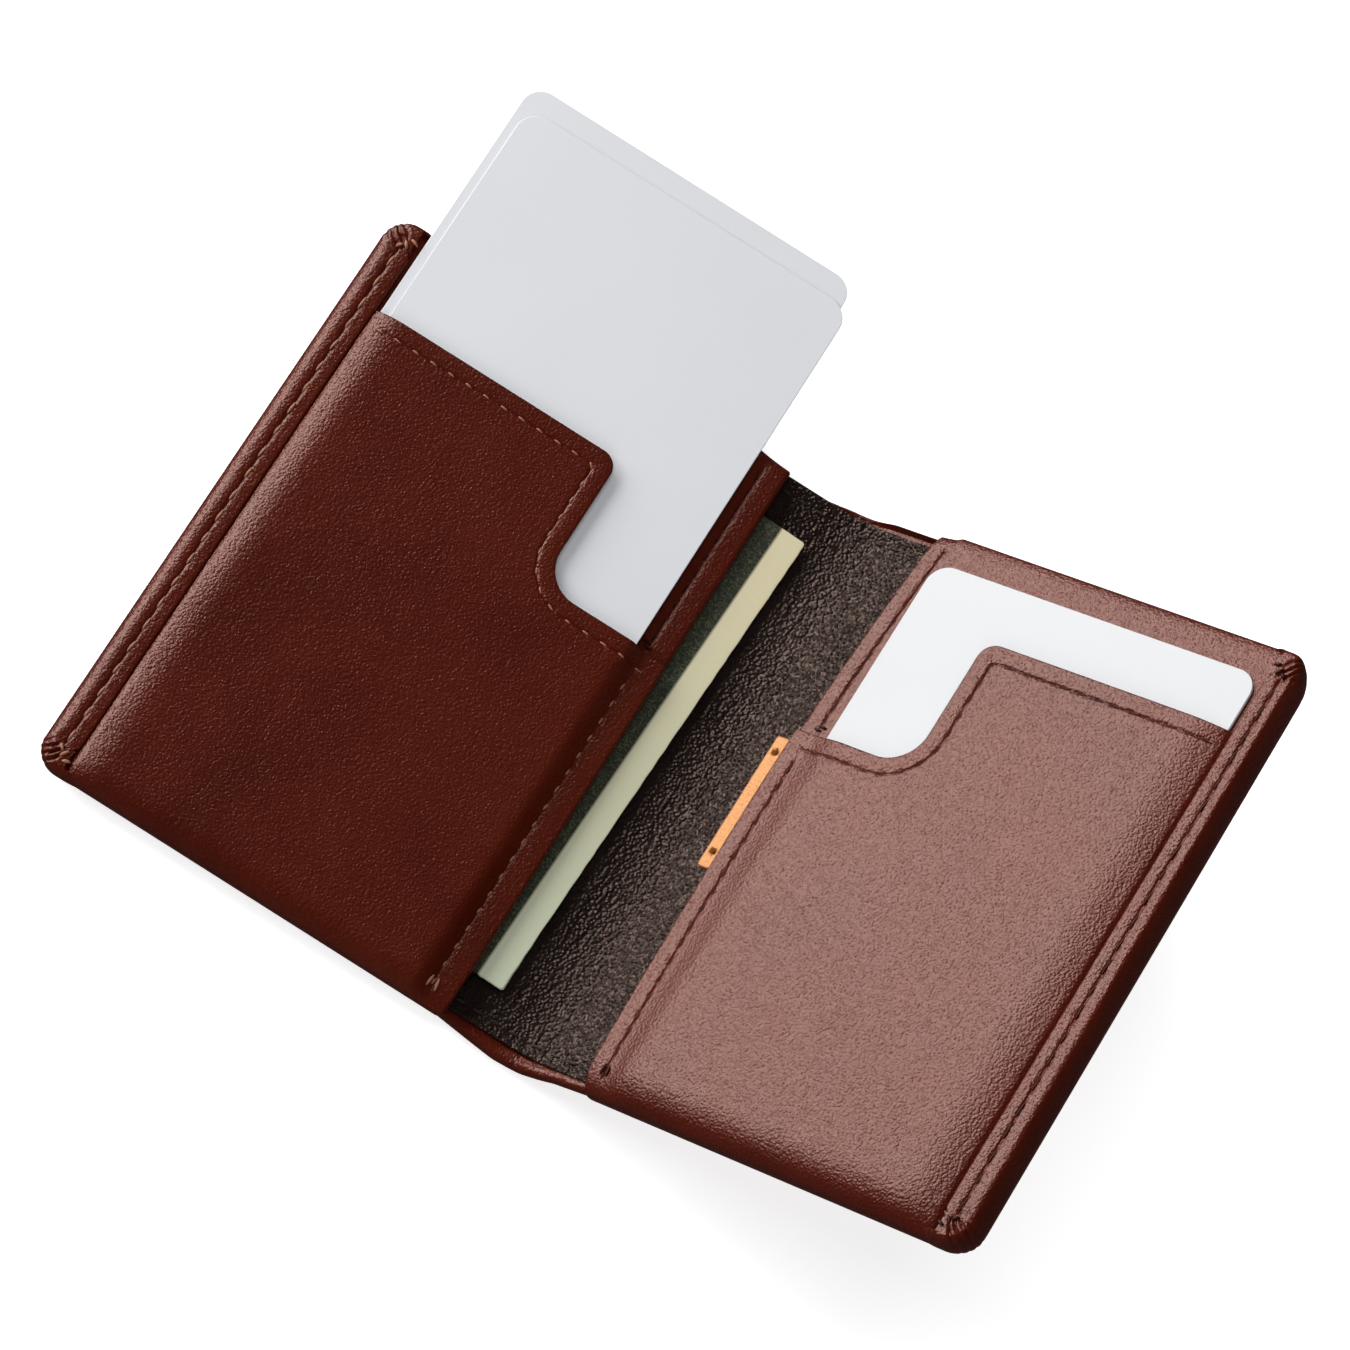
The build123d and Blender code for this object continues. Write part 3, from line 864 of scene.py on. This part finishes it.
for side in ("left", "right"):
    near, far, half = wings[side]["near"], layout["panelFar"], layout["panelHalf"]
    corners = [(near, -half), (far, -half), (far, half), (near, half)]
    piece = shellMesh(
        "innerPanel_" + side, side, corners, [0.6, 4.0, 4.0, 0.5], panelInsets,
        np.arange(near + 6.2, 64, 1.6), np.arange(-40, 41, 1.6), carrierSurfaces, panelToWorld, edgeStep=0.7)
    finishPiece(piece, brownLeather, ["carrier_" + side], side + "_wing")
print("inner panels made")

# card pockets with their thumb notch
seamFar = layout["notchFar"] + layout["seamInset"]
seamFloor = layout["notchFloor"] - layout["seamInset"]
seamMouth = wings["left"]["mouth"] - layout["seamInset"]
notchPath = densePath(
    [(wings["left"]["near"] + 0.8, seamFloor), (seamFar, seamFloor), (seamFar, seamMouth),
     (foldedEdge - 0.6, seamMouth)], [layout["notchInnerRadius"] + layout["seamInset"], 0.9])
lowPath = densePath([(hemLine, -44.9), (hemLine, layout["notchFloor"] - 4.2)], [])
pocketValues = {
    "thickness": 0.55, "bottomRadius": {"left": 3.8, "right": 5.2}, "edgeRadius": 0.28,
    "furrowDepth": 0.26, "furrowWidth": 0.14, "unevenness": 0.07, "stripHeight": 0.85,
    "nearRise": {"left": (9.2, 11.6), "right": (9.4, 15.5)},   # where the face rises beside the spine
    "farFall": {"left": 62.0, "right": 60.0},                  # where it starts to fall towards the border
    "groove": 0.10, "edgeDip": 0.34, "edgePuff": 0.05,
    "slack": {"left": 0.35, "right": 0.0},                     # the face lies lower below the card
}


def pocketSurfaces(side, d, v, e):
    wing = wings[side]
    values = pocketValues
    strip = wing["carrierTop"] + values["stripHeight"]
    riseFrom, riseTo = values["nearRise"][side]
    fallFrom = values["farFall"][side]
    flap = wing["flapTop"] + coverValues["flapLift"][side]
    face = wing["face"] - values["slack"][side] * smooth((-4 - v) / 16)
    upper = strip + (face - strip) * smooth((d - riseFrom) / (riseTo - riseFrom))
    fall = np.clip((d - fallFrom) / (foldedEdge - fallFrom), 0, 1.1) ** 2
    upper = upper - (face - flap + values["groove"]) * fall
    upper = upper - values["edgeDip"] * smooth((d - foldedEdge + 0.34) / 0.22)
    upper = upper + values["edgePuff"] * np.exp(-((e - 1.35) / 0.7) ** 2)
    for path in (notchPath, lowPath):
        upper = upper - seamFurrow(path, seamPitch, values["furrowDepth"], values["furrowWidth"], d, v)
    upper = upper + values["unevenness"] * np.minimum(waves(d, v, 9.0, 21), 0.3) * smooth((d - 13) / 5)
    clear = v + layout["panelHalf"]
    lower = upper - values["thickness"] * (1 - 0.45 * fall)
    level = byEnd("endLevel", side, v)
    upper, lower = turnedEnd(upper, lower, clear, level, values["bottomRadius"][side])
    middle = (upper + lower) / 2
    shape = roundOff(np.where(e < clear - 0.001, e, 9.0), values["edgeRadius"])
    moved = np.where(v < 0, spreadEnd(side, d, v), v)
    return middle + (upper - middle) * shape, middle - (middle - lower) * shape, d, moved


for side in ("left", "right"):
    near, mouth = wings[side]["near"], wings[side]["mouth"]
    low, far = -layout["panelHalf"], layout["pocketFar"]
    notchFar, notchFloor = layout["notchFar"], layout["notchFloor"]
    corners = [
        (near, low), (far, low), (far, mouth), (notchFar, mouth), (notchFar, notchFloor), (near, notchFloor)]
    radii = [0.8, 0.6, 0.4, layout["notchOuterRadius"], layout["notchInnerRadius"], 0.6]
    piece = shellMesh(
        "cardPocket_" + side, side, corners, radii, panelInsets[:-2], np.arange(near + 4.6, 63.5, 1.1),
        np.arange(-42.5, 31, 1.1), pocketSurfaces, panelToWorld, edgeStep=0.6)
    finishPiece(piece, brownLeather, ["pocket_" + side], side + "_wing")
print("card pockets made")


# stitching
def stitchMesh(name, rows):
    # rows: (point, direction along the seam, up, length, radius) of each stitch, in mm
    profile = 9
    along = 13
    verts, faces = [], []
    for point, heading, up, length, radius in rows:
        sideways = np.cross(up, heading)
        start = len(verts)
        for i in range(along):
            t = i / (along - 1) * 2 - 1
            taper = math.sqrt(max(0.0, 1 - abs(t) ** 6)) * (1 - 0.25 * t * t)
            lift = radius * (0.75 - 1.9 * abs(t) ** 3.2)   # the ends dive into their holes
            centre = point + heading * (t * length / 2) + up * lift
            for k in range(profile):
                angle = k / profile * math.tau
                twist = 1 + 0.13 * math.cos(2 * angle + t * length * 2.6)
                r = max(radius * taper * twist, radius * 0.12)
                verts.append(centre + (sideways * math.cos(angle) + up * math.sin(angle) * 0.85) * r)
        for i in range(along - 1):
            for k in range(profile):
                a = start + i * profile + k
                b = start + i * profile + (k + 1) % profile
                faces.append((a, b, b + profile, a + profile))
        faces.append(tuple(start + k for k in reversed(range(profile))))
        faces.append(tuple(start + (along - 1) * profile + k for k in range(profile)))
    piece = newPiece(name, (np.array(verts) * mm).tolist(), faces)
    cleanMesh(piece, 70)
    return piece


def unit(vector):
    return vector / np.linalg.norm(vector)


def seamStitches(side, path, pitch, length, radius, height, toWorld, slant=0.0, flip=False):
    # places stitches along a path at the height of the leather under them
    lengths = pathLengths(path)
    total = lengths[-1]
    count = max(1, round(total / pitch))
    rows = []
    for k in range(count):
        middle = (k + 0.5) / count * total + random.uniform(-0.08, 0.08)
        ends = [np.array([np.interp(middle + o, lengths, path[:, c]) for c in (0, 1)]) for o in (-0.3, 0.3)]
        centre = (ends[0] + ends[1]) / 2
        heading = unit(ends[1] - ends[0])
        turn = slant + random.uniform(-0.05, 0.05)
        heading = np.array([heading[0] * math.cos(turn) - heading[1] * math.sin(turn),
                            heading[0] * math.sin(turn) + heading[1] * math.cos(turn)])
        probe = np.array([centre, centre + heading * 0.5, centre - heading * 0.5])
        levels = height(side, probe[:, 0], probe[:, 1])
        base = toWorld(side, probe[:, 0], probe[:, 1], levels)
        raised = toWorld(side, probe[:1, 0], probe[:1, 1], levels[:1] + 1.0)
        up = unit(raised[0] - base[0]) * (-1 if flip else 1)
        direction = unit(base[1] - base[2])
        up = unit(up - direction * np.dot(up, direction))
        place = base[0] + up * random.uniform(-0.03, 0.03)
        rows.append((place, direction, up, length * random.uniform(0.94, 1.05), radius))
    return rows


def coverTop(side, d, v):
    return coverSurfaces(side, d, v, None)[0]


def coverLow(side, d, v):
    return coverSurfaces(side, d, v, None)[1]


def pocketTop(side, d, v):
    return pocketSurfaces(side, d, v, np.full_like(d, 3.0))[0]


def carrierTop(side, d, v):
    return carrierSurfaces(side, d, v, np.full_like(d, 3.0))[0]


def liningTop(side, d, v):
    return liningSurfaces(side, d, v, None)[0]


stitchValues = {
    "borderLength": {"left": 2.3, "right": 3.0}, "borderRadius": {"left": 0.19, "right": 0.15},
    "seamLength": {"left": 1.3, "right": 2.4}, "seamRadius": {"left": 0.14, "right": 0.10},
    "slant": 0.10, "underSink": 0.12, "tieRadius": 0.2, "cornerTieRadius": 0.22,
    # ties that hold down each corner: d, half height, angle in degrees, length
    "cornerTies": ((68.4, 44.2, 55, 1.5), (67.6, 45.1, 20, 1.4), (69.2, 43.7, 130, 1.2)),
}
single = 9   # a pitch longer than a tie's path, so it gets one stitch
tie = stitchValues["tieRadius"]
for side in ("left", "right"):
    body = side + "_wing"
    slant = stitchValues["slant"] * (1 if side == "left" else -1)
    borderSize = (stitchValues["borderLength"][side], stitchValues["borderRadius"][side])
    seamSize = (stitchValues["seamLength"][side], stitchValues["seamRadius"][side])
    rows = seamStitches(side, borderPath, borderPitch, *borderSize, coverTop, sheetToWorld, slant)
    under = seamStitches(
        side, borderPath, borderPitch, borderSize[0], 0.2, coverLow, sheetToWorld, -slant, flip=True)
    under = [(p - u * stitchValues["underSink"], t, u, l, r) for p, t, u, l, r in under]
    for end in (-1, 1):
        for x, y, degrees, length in stitchValues["cornerTies"]:
            dx, dy = 0.3 * math.cos(math.radians(degrees)), 0.3 * math.sin(math.radians(degrees))
            path = np.array([(x - dx, end * (y - dy)), (x + dx, end * (y + dy))])
            rows += seamStitches(
                side, path, single, length, stitchValues["cornerTieRadius"], coverTop, sheetToWorld)
    piece = stitchMesh("borderStitches_" + side, rows + under)
    finishPiece(piece, threads[side], ["border_thread_" + side], body)

    rows = seamStitches(side, notchPath, seamPitch, *seamSize, pocketTop, panelToWorld, slant)
    rows += seamStitches(side, lowPath, seamPitch, *seamSize, pocketTop, panelToWorld, slant)
    for shift, angle in ((0.5, 0.12), (-0.55, -0.12)):
        path = np.array([(hemLine + shift, -44.6), (hemLine + shift, -42.8)])
        rows += seamStitches(side, path, single, 2.0, tie, pocketTop, panelToWorld, angle)
    piece = stitchMesh("pocketStitches_" + side, rows)
    finishPiece(piece, threads[side], ["pocket_thread_" + side], body)

    # both hems take the near-black copy of the thread: painted shade of the dark strip beside the card
    rows = seamStitches(side, hemPath, seamPitch, *seamSize, carrierTop, panelToWorld, slant)
    for shift, y in ((0.0, 13.4), (0.5, 14.0)):
        path = np.array([(hemLine + shift - 0.6, y), (hemLine + shift + 0.6, y)])
        rows += seamStitches(side, path, single, 1.5, tie, carrierTop, panelToWorld)
    piece = stitchMesh("hemStitches_" + side, rows)
    finishPiece(piece, threads["right"], ["hem_thread_" + side], body)

# lining stitches near both ends
liningStitches = {}
for side in ("left", "right"):
    rows = []
    for y in (-layout["liningSeam"], layout["liningSeam"]):
        path = densePath([(6.2, y), (spineEnd + 0.4, y)], [])
        rows += seamStitches(side, path, seamPitch, 1.9, 0.2, liningTop, liningToWorld)
    piece = stitchMesh("liningStitches_" + side, rows)
    replaced = ["lining_thread_" + side, "lining_thread_spine"]
    liningStitches[side] = finishPiece(piece, threads["lining"], replaced)
print("stitching made")

# cards
cardValues = {"cornerRadius": 3.2, "edgeRadius": 0.08, "innerThinner": 0.4, "seatedThinner": 0.25}


def makeCardPiece(name, node, side, body, material, thinner=0.0):
    low, high = wingBox(node, side)
    middle, halfThick = (low[2] + high[2] - thinner) / 2, (high[2] - low[2] - thinner) / 2
    corners = [(low[0], low[1]), (high[0], low[1]), (high[0], high[1]), (low[0], high[1])]

    def surfaces(side, d, v, e):
        shape = 0.35 + 0.65 * roundOff(e, cardValues["edgeRadius"])
        return middle + halfThick * shape, middle - halfThick * shape

    piece = shellMesh(
        name, side, corners, [cardValues["cornerRadius"]] * 4, [0, 0.03, 0.07, 0.13, 0.6],
        np.arange(low[0] + 3, high[0] - 2, 6), np.arange(low[1] + 3, high[1] - 2, 6), surfaces,
        wingToWorld, edgeStep=4.0, arcStep=0.3)
    return finishPiece(piece, material, [node], body)


makeCardPiece("rearCard_left", "card_left_rear", "left", "rear_card", greyCard)
makeCardPiece("frontCard_left", "card_left_front", "left", "front_card", greyCardShadedEdge,
              cardValues["innerThinner"])
makeCardPiece("card_seatedRight", "card_right", "right", "right_card", whiteCard,
              cardValues["seatedThinner"])
print("cards made")

# notes: two folded sheets, a little skewed, with a bare margin and a generic line pattern
noteValues = {
    "width": 63.4, "height": 78.0, "skew": 1.7, "freeEdge": -0.3, "curl": 0.5,
    "margin": (0.74, 0.66, 0.44), "middle": (0.63, 0.62, 0.43), "pale": (0.62, 0.66, 0.49),
    "ink": (0.008, 0.010, 0.006), "halfInk": (0.018, 0.020, 0.012), "faintInk": (0.055, 0.060, 0.035),
    "stain": (0.30, 0.31, 0.22), "printFrom": 0.058, "printFull": 0.0645,   # as shares of the note's width
}


def makePaper():
    values = noteValues
    material, tree, shader, place = startMaterial("notePaper")
    span = addNode(tree, "ShaderNodeAttribute", (-1500, 500), attribute_name="acrossNote")
    along = addNode(tree, "ShaderNodeAttribute", (-1500, 250), attribute_name="alongNote")
    stops = [(0.05, values["pale"]), (0.45, values["middle"]), (0.9, values["margin"])]
    tone = rampNode(tree, along.outputs["Fac"], stops, (-1150, 250))
    combine = addNode(tree, "ShaderNodeCombineXYZ", (-1300, 700))
    tree.links.new(span.outputs["Fac"], combine.inputs["X"])
    tree.links.new(along.outputs["Fac"], combine.inputs["Y"])
    lines = addNode(tree, "ShaderNodeTexWave", (-1050, 700), wave_type="RINGS")
    for socket, value in (("Scale", 26), ("Distortion", 16), ("Detail", 4), ("Detail Scale", 2.5)):
        lines.inputs[socket].default_value = value
    tree.links.new(combine.outputs["Vector"], lines.inputs["Vector"])
    stops = [(0.35, values["ink"]), (0.75, values["halfInk"]), (0.95, values["faintInk"])]
    printed = rampNode(tree, lines.outputs["Fac"], stops, (-600, 800))
    inside = addNode(tree, "ShaderNodeMapRange", (-800, 500))
    inside.inputs["From Min"].default_value = values["printFrom"]
    inside.inputs["From Max"].default_value = values["printFull"]
    tree.links.new(span.outputs["Fac"], inside.inputs["Value"])
    colour = mixColour(tree, inside.outputs["Result"], tone, printed, (-350, 500))
    fibre = noiseNode(tree, place, 3000, 3, 0.6, (-900, -200))
    stain = mathNode(tree, "MULTIPLY", fibre, 0.14, (-500, 200))
    colour = mixColour(tree, stain, colour, values["stain"], (-150, 400))
    normal = bumpNode(tree, fibre, 0.00003, 0.8, (-400, -200))
    finishShader(tree, shader, colour, normal, 0.78, 0.25)
    return material


notePaper = makePaper()


def makeNote(name, node, shift, extraSkew):
    low, high = wingBox(node, "left")
    values = noteValues
    level = (low[2] + high[2]) / 2
    thick = (high[2] - low[2]) * 0.7
    near = values["freeEdge"] + shift
    skew = math.radians(values["skew"] + extraSkew)
    half = values["height"] / 2
    corners = [(0, -half), (values["width"], -half), (values["width"], half), (0, half)]

    def surfaces(side, d, v, e):
        curl = values["curl"] * np.clip((6.0 - d) / 6.0, 0, 1) ** 2
        ripple = 0.05 * np.sin(v * 0.16 + 0.8) * smooth((14 - d) / 10)
        middle = level + ripple - 0.25 * curl
        shape = 0.3 + 0.7 * roundOff(e, 0.08)
        ragged = 0.03 * np.sin(v * 1.3 + 2 * np.sin(v * 0.37)) * np.clip(1 - d / 0.8, 0, 1)
        return middle + thick / 2 * shape, middle - thick / 2 * shape, d + ragged, v

    def toWorld(side, d, v, h):
        x = near + d * math.cos(skew) - v * math.sin(skew)
        y = d * math.sin(skew) + v * math.cos(skew)
        return wingToWorld(side, x, y, h)

    piece = shellMesh(
        name, "left", corners, [0.4] * 4, [0, 0.04, 0.1, 0.5],
        np.arange(1, 63, 1.6), np.arange(-38, 38.1, 1.6),
        surfaces, toWorld, edgeStep=0.5)
    points = np.array([v.co for v in piece.data.vertices], float) / mm
    x, y = leftFold[0] - points[:, 0] - near, points[:, 1]
    across = (x * math.cos(skew) + y * math.sin(skew)) / values["width"]
    alongNote = (y * math.cos(skew) - x * math.sin(skew)) / values["height"] + 0.5
    for label, data in (("acrossNote", across), ("alongNote", alongNote)):
        mark = piece.data.attributes.new(label, "FLOAT", "POINT")
        mark.data.foreach_set("value", data.astype(np.float32))
    finishPiece(piece, notePaper, [node], "notes")
    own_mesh(piece)
    return piece


makeNote("upperNote", "note_upper", 0.0, 0.0)
makeNote("lowerNote", "note_lower", 0.45, -0.9)
print("notes made")

# pull tab, cut from tan leather and pierced near each end
tabValues = {
    "cornerRadius": 0.5, "edgeRadius": 0.16, "holeRadius": 0.45, "holeInset": 2.6, "holeFromEdge": 1.3,
}
low, high = wingBox("pull_tab", "right")
tabMiddle, tabHalf = (low[2] + high[2]) / 2, (high[2] - low[2]) / 2


def tabSurfaces(side, d, v, e):
    shape = 0.45 + 0.55 * roundOff(e, tabValues["edgeRadius"])
    wear = 0.03 * waves(d, v, 1.2, 31)
    return tabMiddle + tabHalf * shape + wear - 0.04, tabMiddle - tabHalf * shape


tabCorners = [(low[0], low[1]), (high[0], low[1]), (high[0], high[1]), (low[0], high[1])]
tabHoles = [(low[0] + tabValues["holeFromEdge"], y, tabValues["holeRadius"])
            for y in (high[1] - tabValues["holeInset"], low[1] + tabValues["holeInset"])]
piece = shellMesh(
    "pullTab", "right", tabCorners, [tabValues["cornerRadius"]] * 4, [0, 0.03, 0.08, 0.16, 0.4],
    np.arange(low[0] + 0.7, high[0] - 0.5, 0.45), np.arange(low[1] + 0.7, high[1] - 0.5, 0.45),
    tabSurfaces, wingToWorld, edgeStep=0.4, holes=tabHoles)
finishPiece(piece, tanLeather, ["pull_tab"], "tab")

# nodes that keep their CAD shape
ribbonValues = {
    "dark": (0.012, 0.009, 0.008), "light": (0.035, 0.027, 0.024), "weaveScale": 700, "roughness": 0.7,
}


def makeRibbon():
    values = ribbonValues
    material, tree, shader, place = startMaterial("wovenRibbon")
    weave = addNode(tree, "ShaderNodeTexWave", (-900, 200), bands_direction="Y")
    weave.inputs["Scale"].default_value = values["weaveScale"]
    tree.links.new(place, weave.inputs["Vector"])
    stops = [(0.2, values["dark"]), (0.8, values["light"])]
    colour = rampNode(tree, weave.outputs["Fac"], stops, (-600, 200))
    normal = bumpNode(tree, weave.outputs["Fac"], 0.00005, 0.8, (-400, -200))
    finishShader(tree, shader, colour, normal, values["roughness"])
    return material


ribbon = makeRibbon()
storedCard = makeCard("storedCard", (0.70, 0.71, 0.74), (0.74, 0.74, 0.72), 0.5)
for name in nodes:
    if name.startswith(("ribbon", "stored_card")):
        nodes[name].data.materials.clear()
        nodes[name].data.materials.append(ribbon if name.startswith("ribbon") else storedCard)
print("tab, ribbon and stored cards finished")


for group in (outerPieces, liningPieces, liningStitches):
    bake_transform(group["left"])
    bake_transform(group["right"])

# floor, lights and camera
floorValues = {"size": 6.0, "level": -0.0004, "colour": (0.95, 0.95, 0.95), "glow": 0.65}
half = floorValues["size"] / 2
floorCorners = [(-half, -half, 0), (half, -half, 0), (half, half, 0), (-half, half, 0)]
floor = newPiece("paleFloor", floorCorners, [(0, 1, 2, 3)])
floor.location.z = floorValues["level"]
floorPaint, tree, shader, place = startMaterial("paleFloorPaint")
grain = noiseNode(tree, place, 40, 2, 0.5, (-700, 0))
stops = [(0.3, shade(floorValues["colour"], 0.995)), (0.7, floorValues["colour"])]
tree.links.new(rampNode(tree, grain, stops, (-400, 0)), shader.inputs["Base Color"])
shader.inputs["Roughness"].default_value = 0.9
shader.inputs["Specular IOR Level"].default_value = 0.1
shader.inputs["Emission Color"].default_value = (1, 1, 1, 1)
shader.inputs["Emission Strength"].default_value = floorValues["glow"]
floor.visible_glossy = False   # keeps the dark rolled edges from mirroring the floor
floor.data.materials.append(floorPaint)
floor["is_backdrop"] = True
print("floor laid")

lightValues = {
    # name: (azimuth from +X towards +Y, elevation, distance m, width m, height m, watts)
    "windowLeft": (161, 21, 1.0, 1.1, 0.55, 16.3),
    "fillTop": (110, 66, 1.3, 0.9, 0.9, 5.4),
    "fillFront": (280, 36, 1.3, 0.9, 0.7, 4.5),
    "fillRight": (20, 30, 1.4, 1.0, 0.7, 1.5),
}
target = Vector((0.03, 0.0, 0.01))   # all the lights point here
for name, (azimuth, elevation, distance, width, height, watts) in lightValues.items():
    data = bpy.data.lights.new(name, "AREA")
    data.shape = "RECTANGLE"
    data.size, data.size_y = width, height
    data.energy = watts
    lamp = bpy.data.objects.new(name, data)
    a, e = math.radians(azimuth), math.radians(elevation)
    away = Vector((math.cos(a) * math.cos(e), math.sin(a) * math.cos(e), math.sin(e)))
    lamp.location = target + away * distance
    lamp.rotation_mode = "QUATERNION"
    lamp.rotation_quaternion = (target - lamp.location).to_track_quat("-Z", "Y")
    lamp.visible_glossy = name == "windowLeft"   # the fills soften shadows without adding shine
    bpy.context.scene.collection.objects.link(lamp)
roomValues = {"colour": (0.95, 0.97, 1.0, 1), "strength": 0.04}
world = bpy.data.worlds.new("softRoom")
world.use_nodes = True
background = world.node_tree.nodes["Background"]
background.inputs["Color"].default_value = roomValues["colour"]
background.inputs["Strength"].default_value = roomValues["strength"]
bpy.context.scene.world = world
bpy.context.scene.view_settings.view_transform = "Standard"
print("lights set")

cameraValues = {
    "place": (0.04703, -0.25632, 0.85444), "looksAlong": (-0.016848, 0.300837, -0.953527),
    "roll": 29.22, "lens": 171.26, "sensor": 36.0,
}
cameraData = bpy.data.cameras.new("camera")
cameraData.lens = cameraValues["lens"]
cameraData.sensor_width = cameraValues["sensor"]
cameraData.clip_start = 0.05
camera = bpy.data.objects.new("camera", cameraData)
camera.location = cameraValues["place"]
camera.rotation_mode = "QUATERNION"
look = Vector(cameraValues["looksAlong"]).to_track_quat("-Z", "Y")
camera.rotation_quaternion = look @ Quaternion((0, 0, 1), math.radians(cameraValues["roll"]))
bpy.context.scene.collection.objects.link(camera)
bpy.context.scene.camera = camera

low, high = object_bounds()
print("all pieces ready")
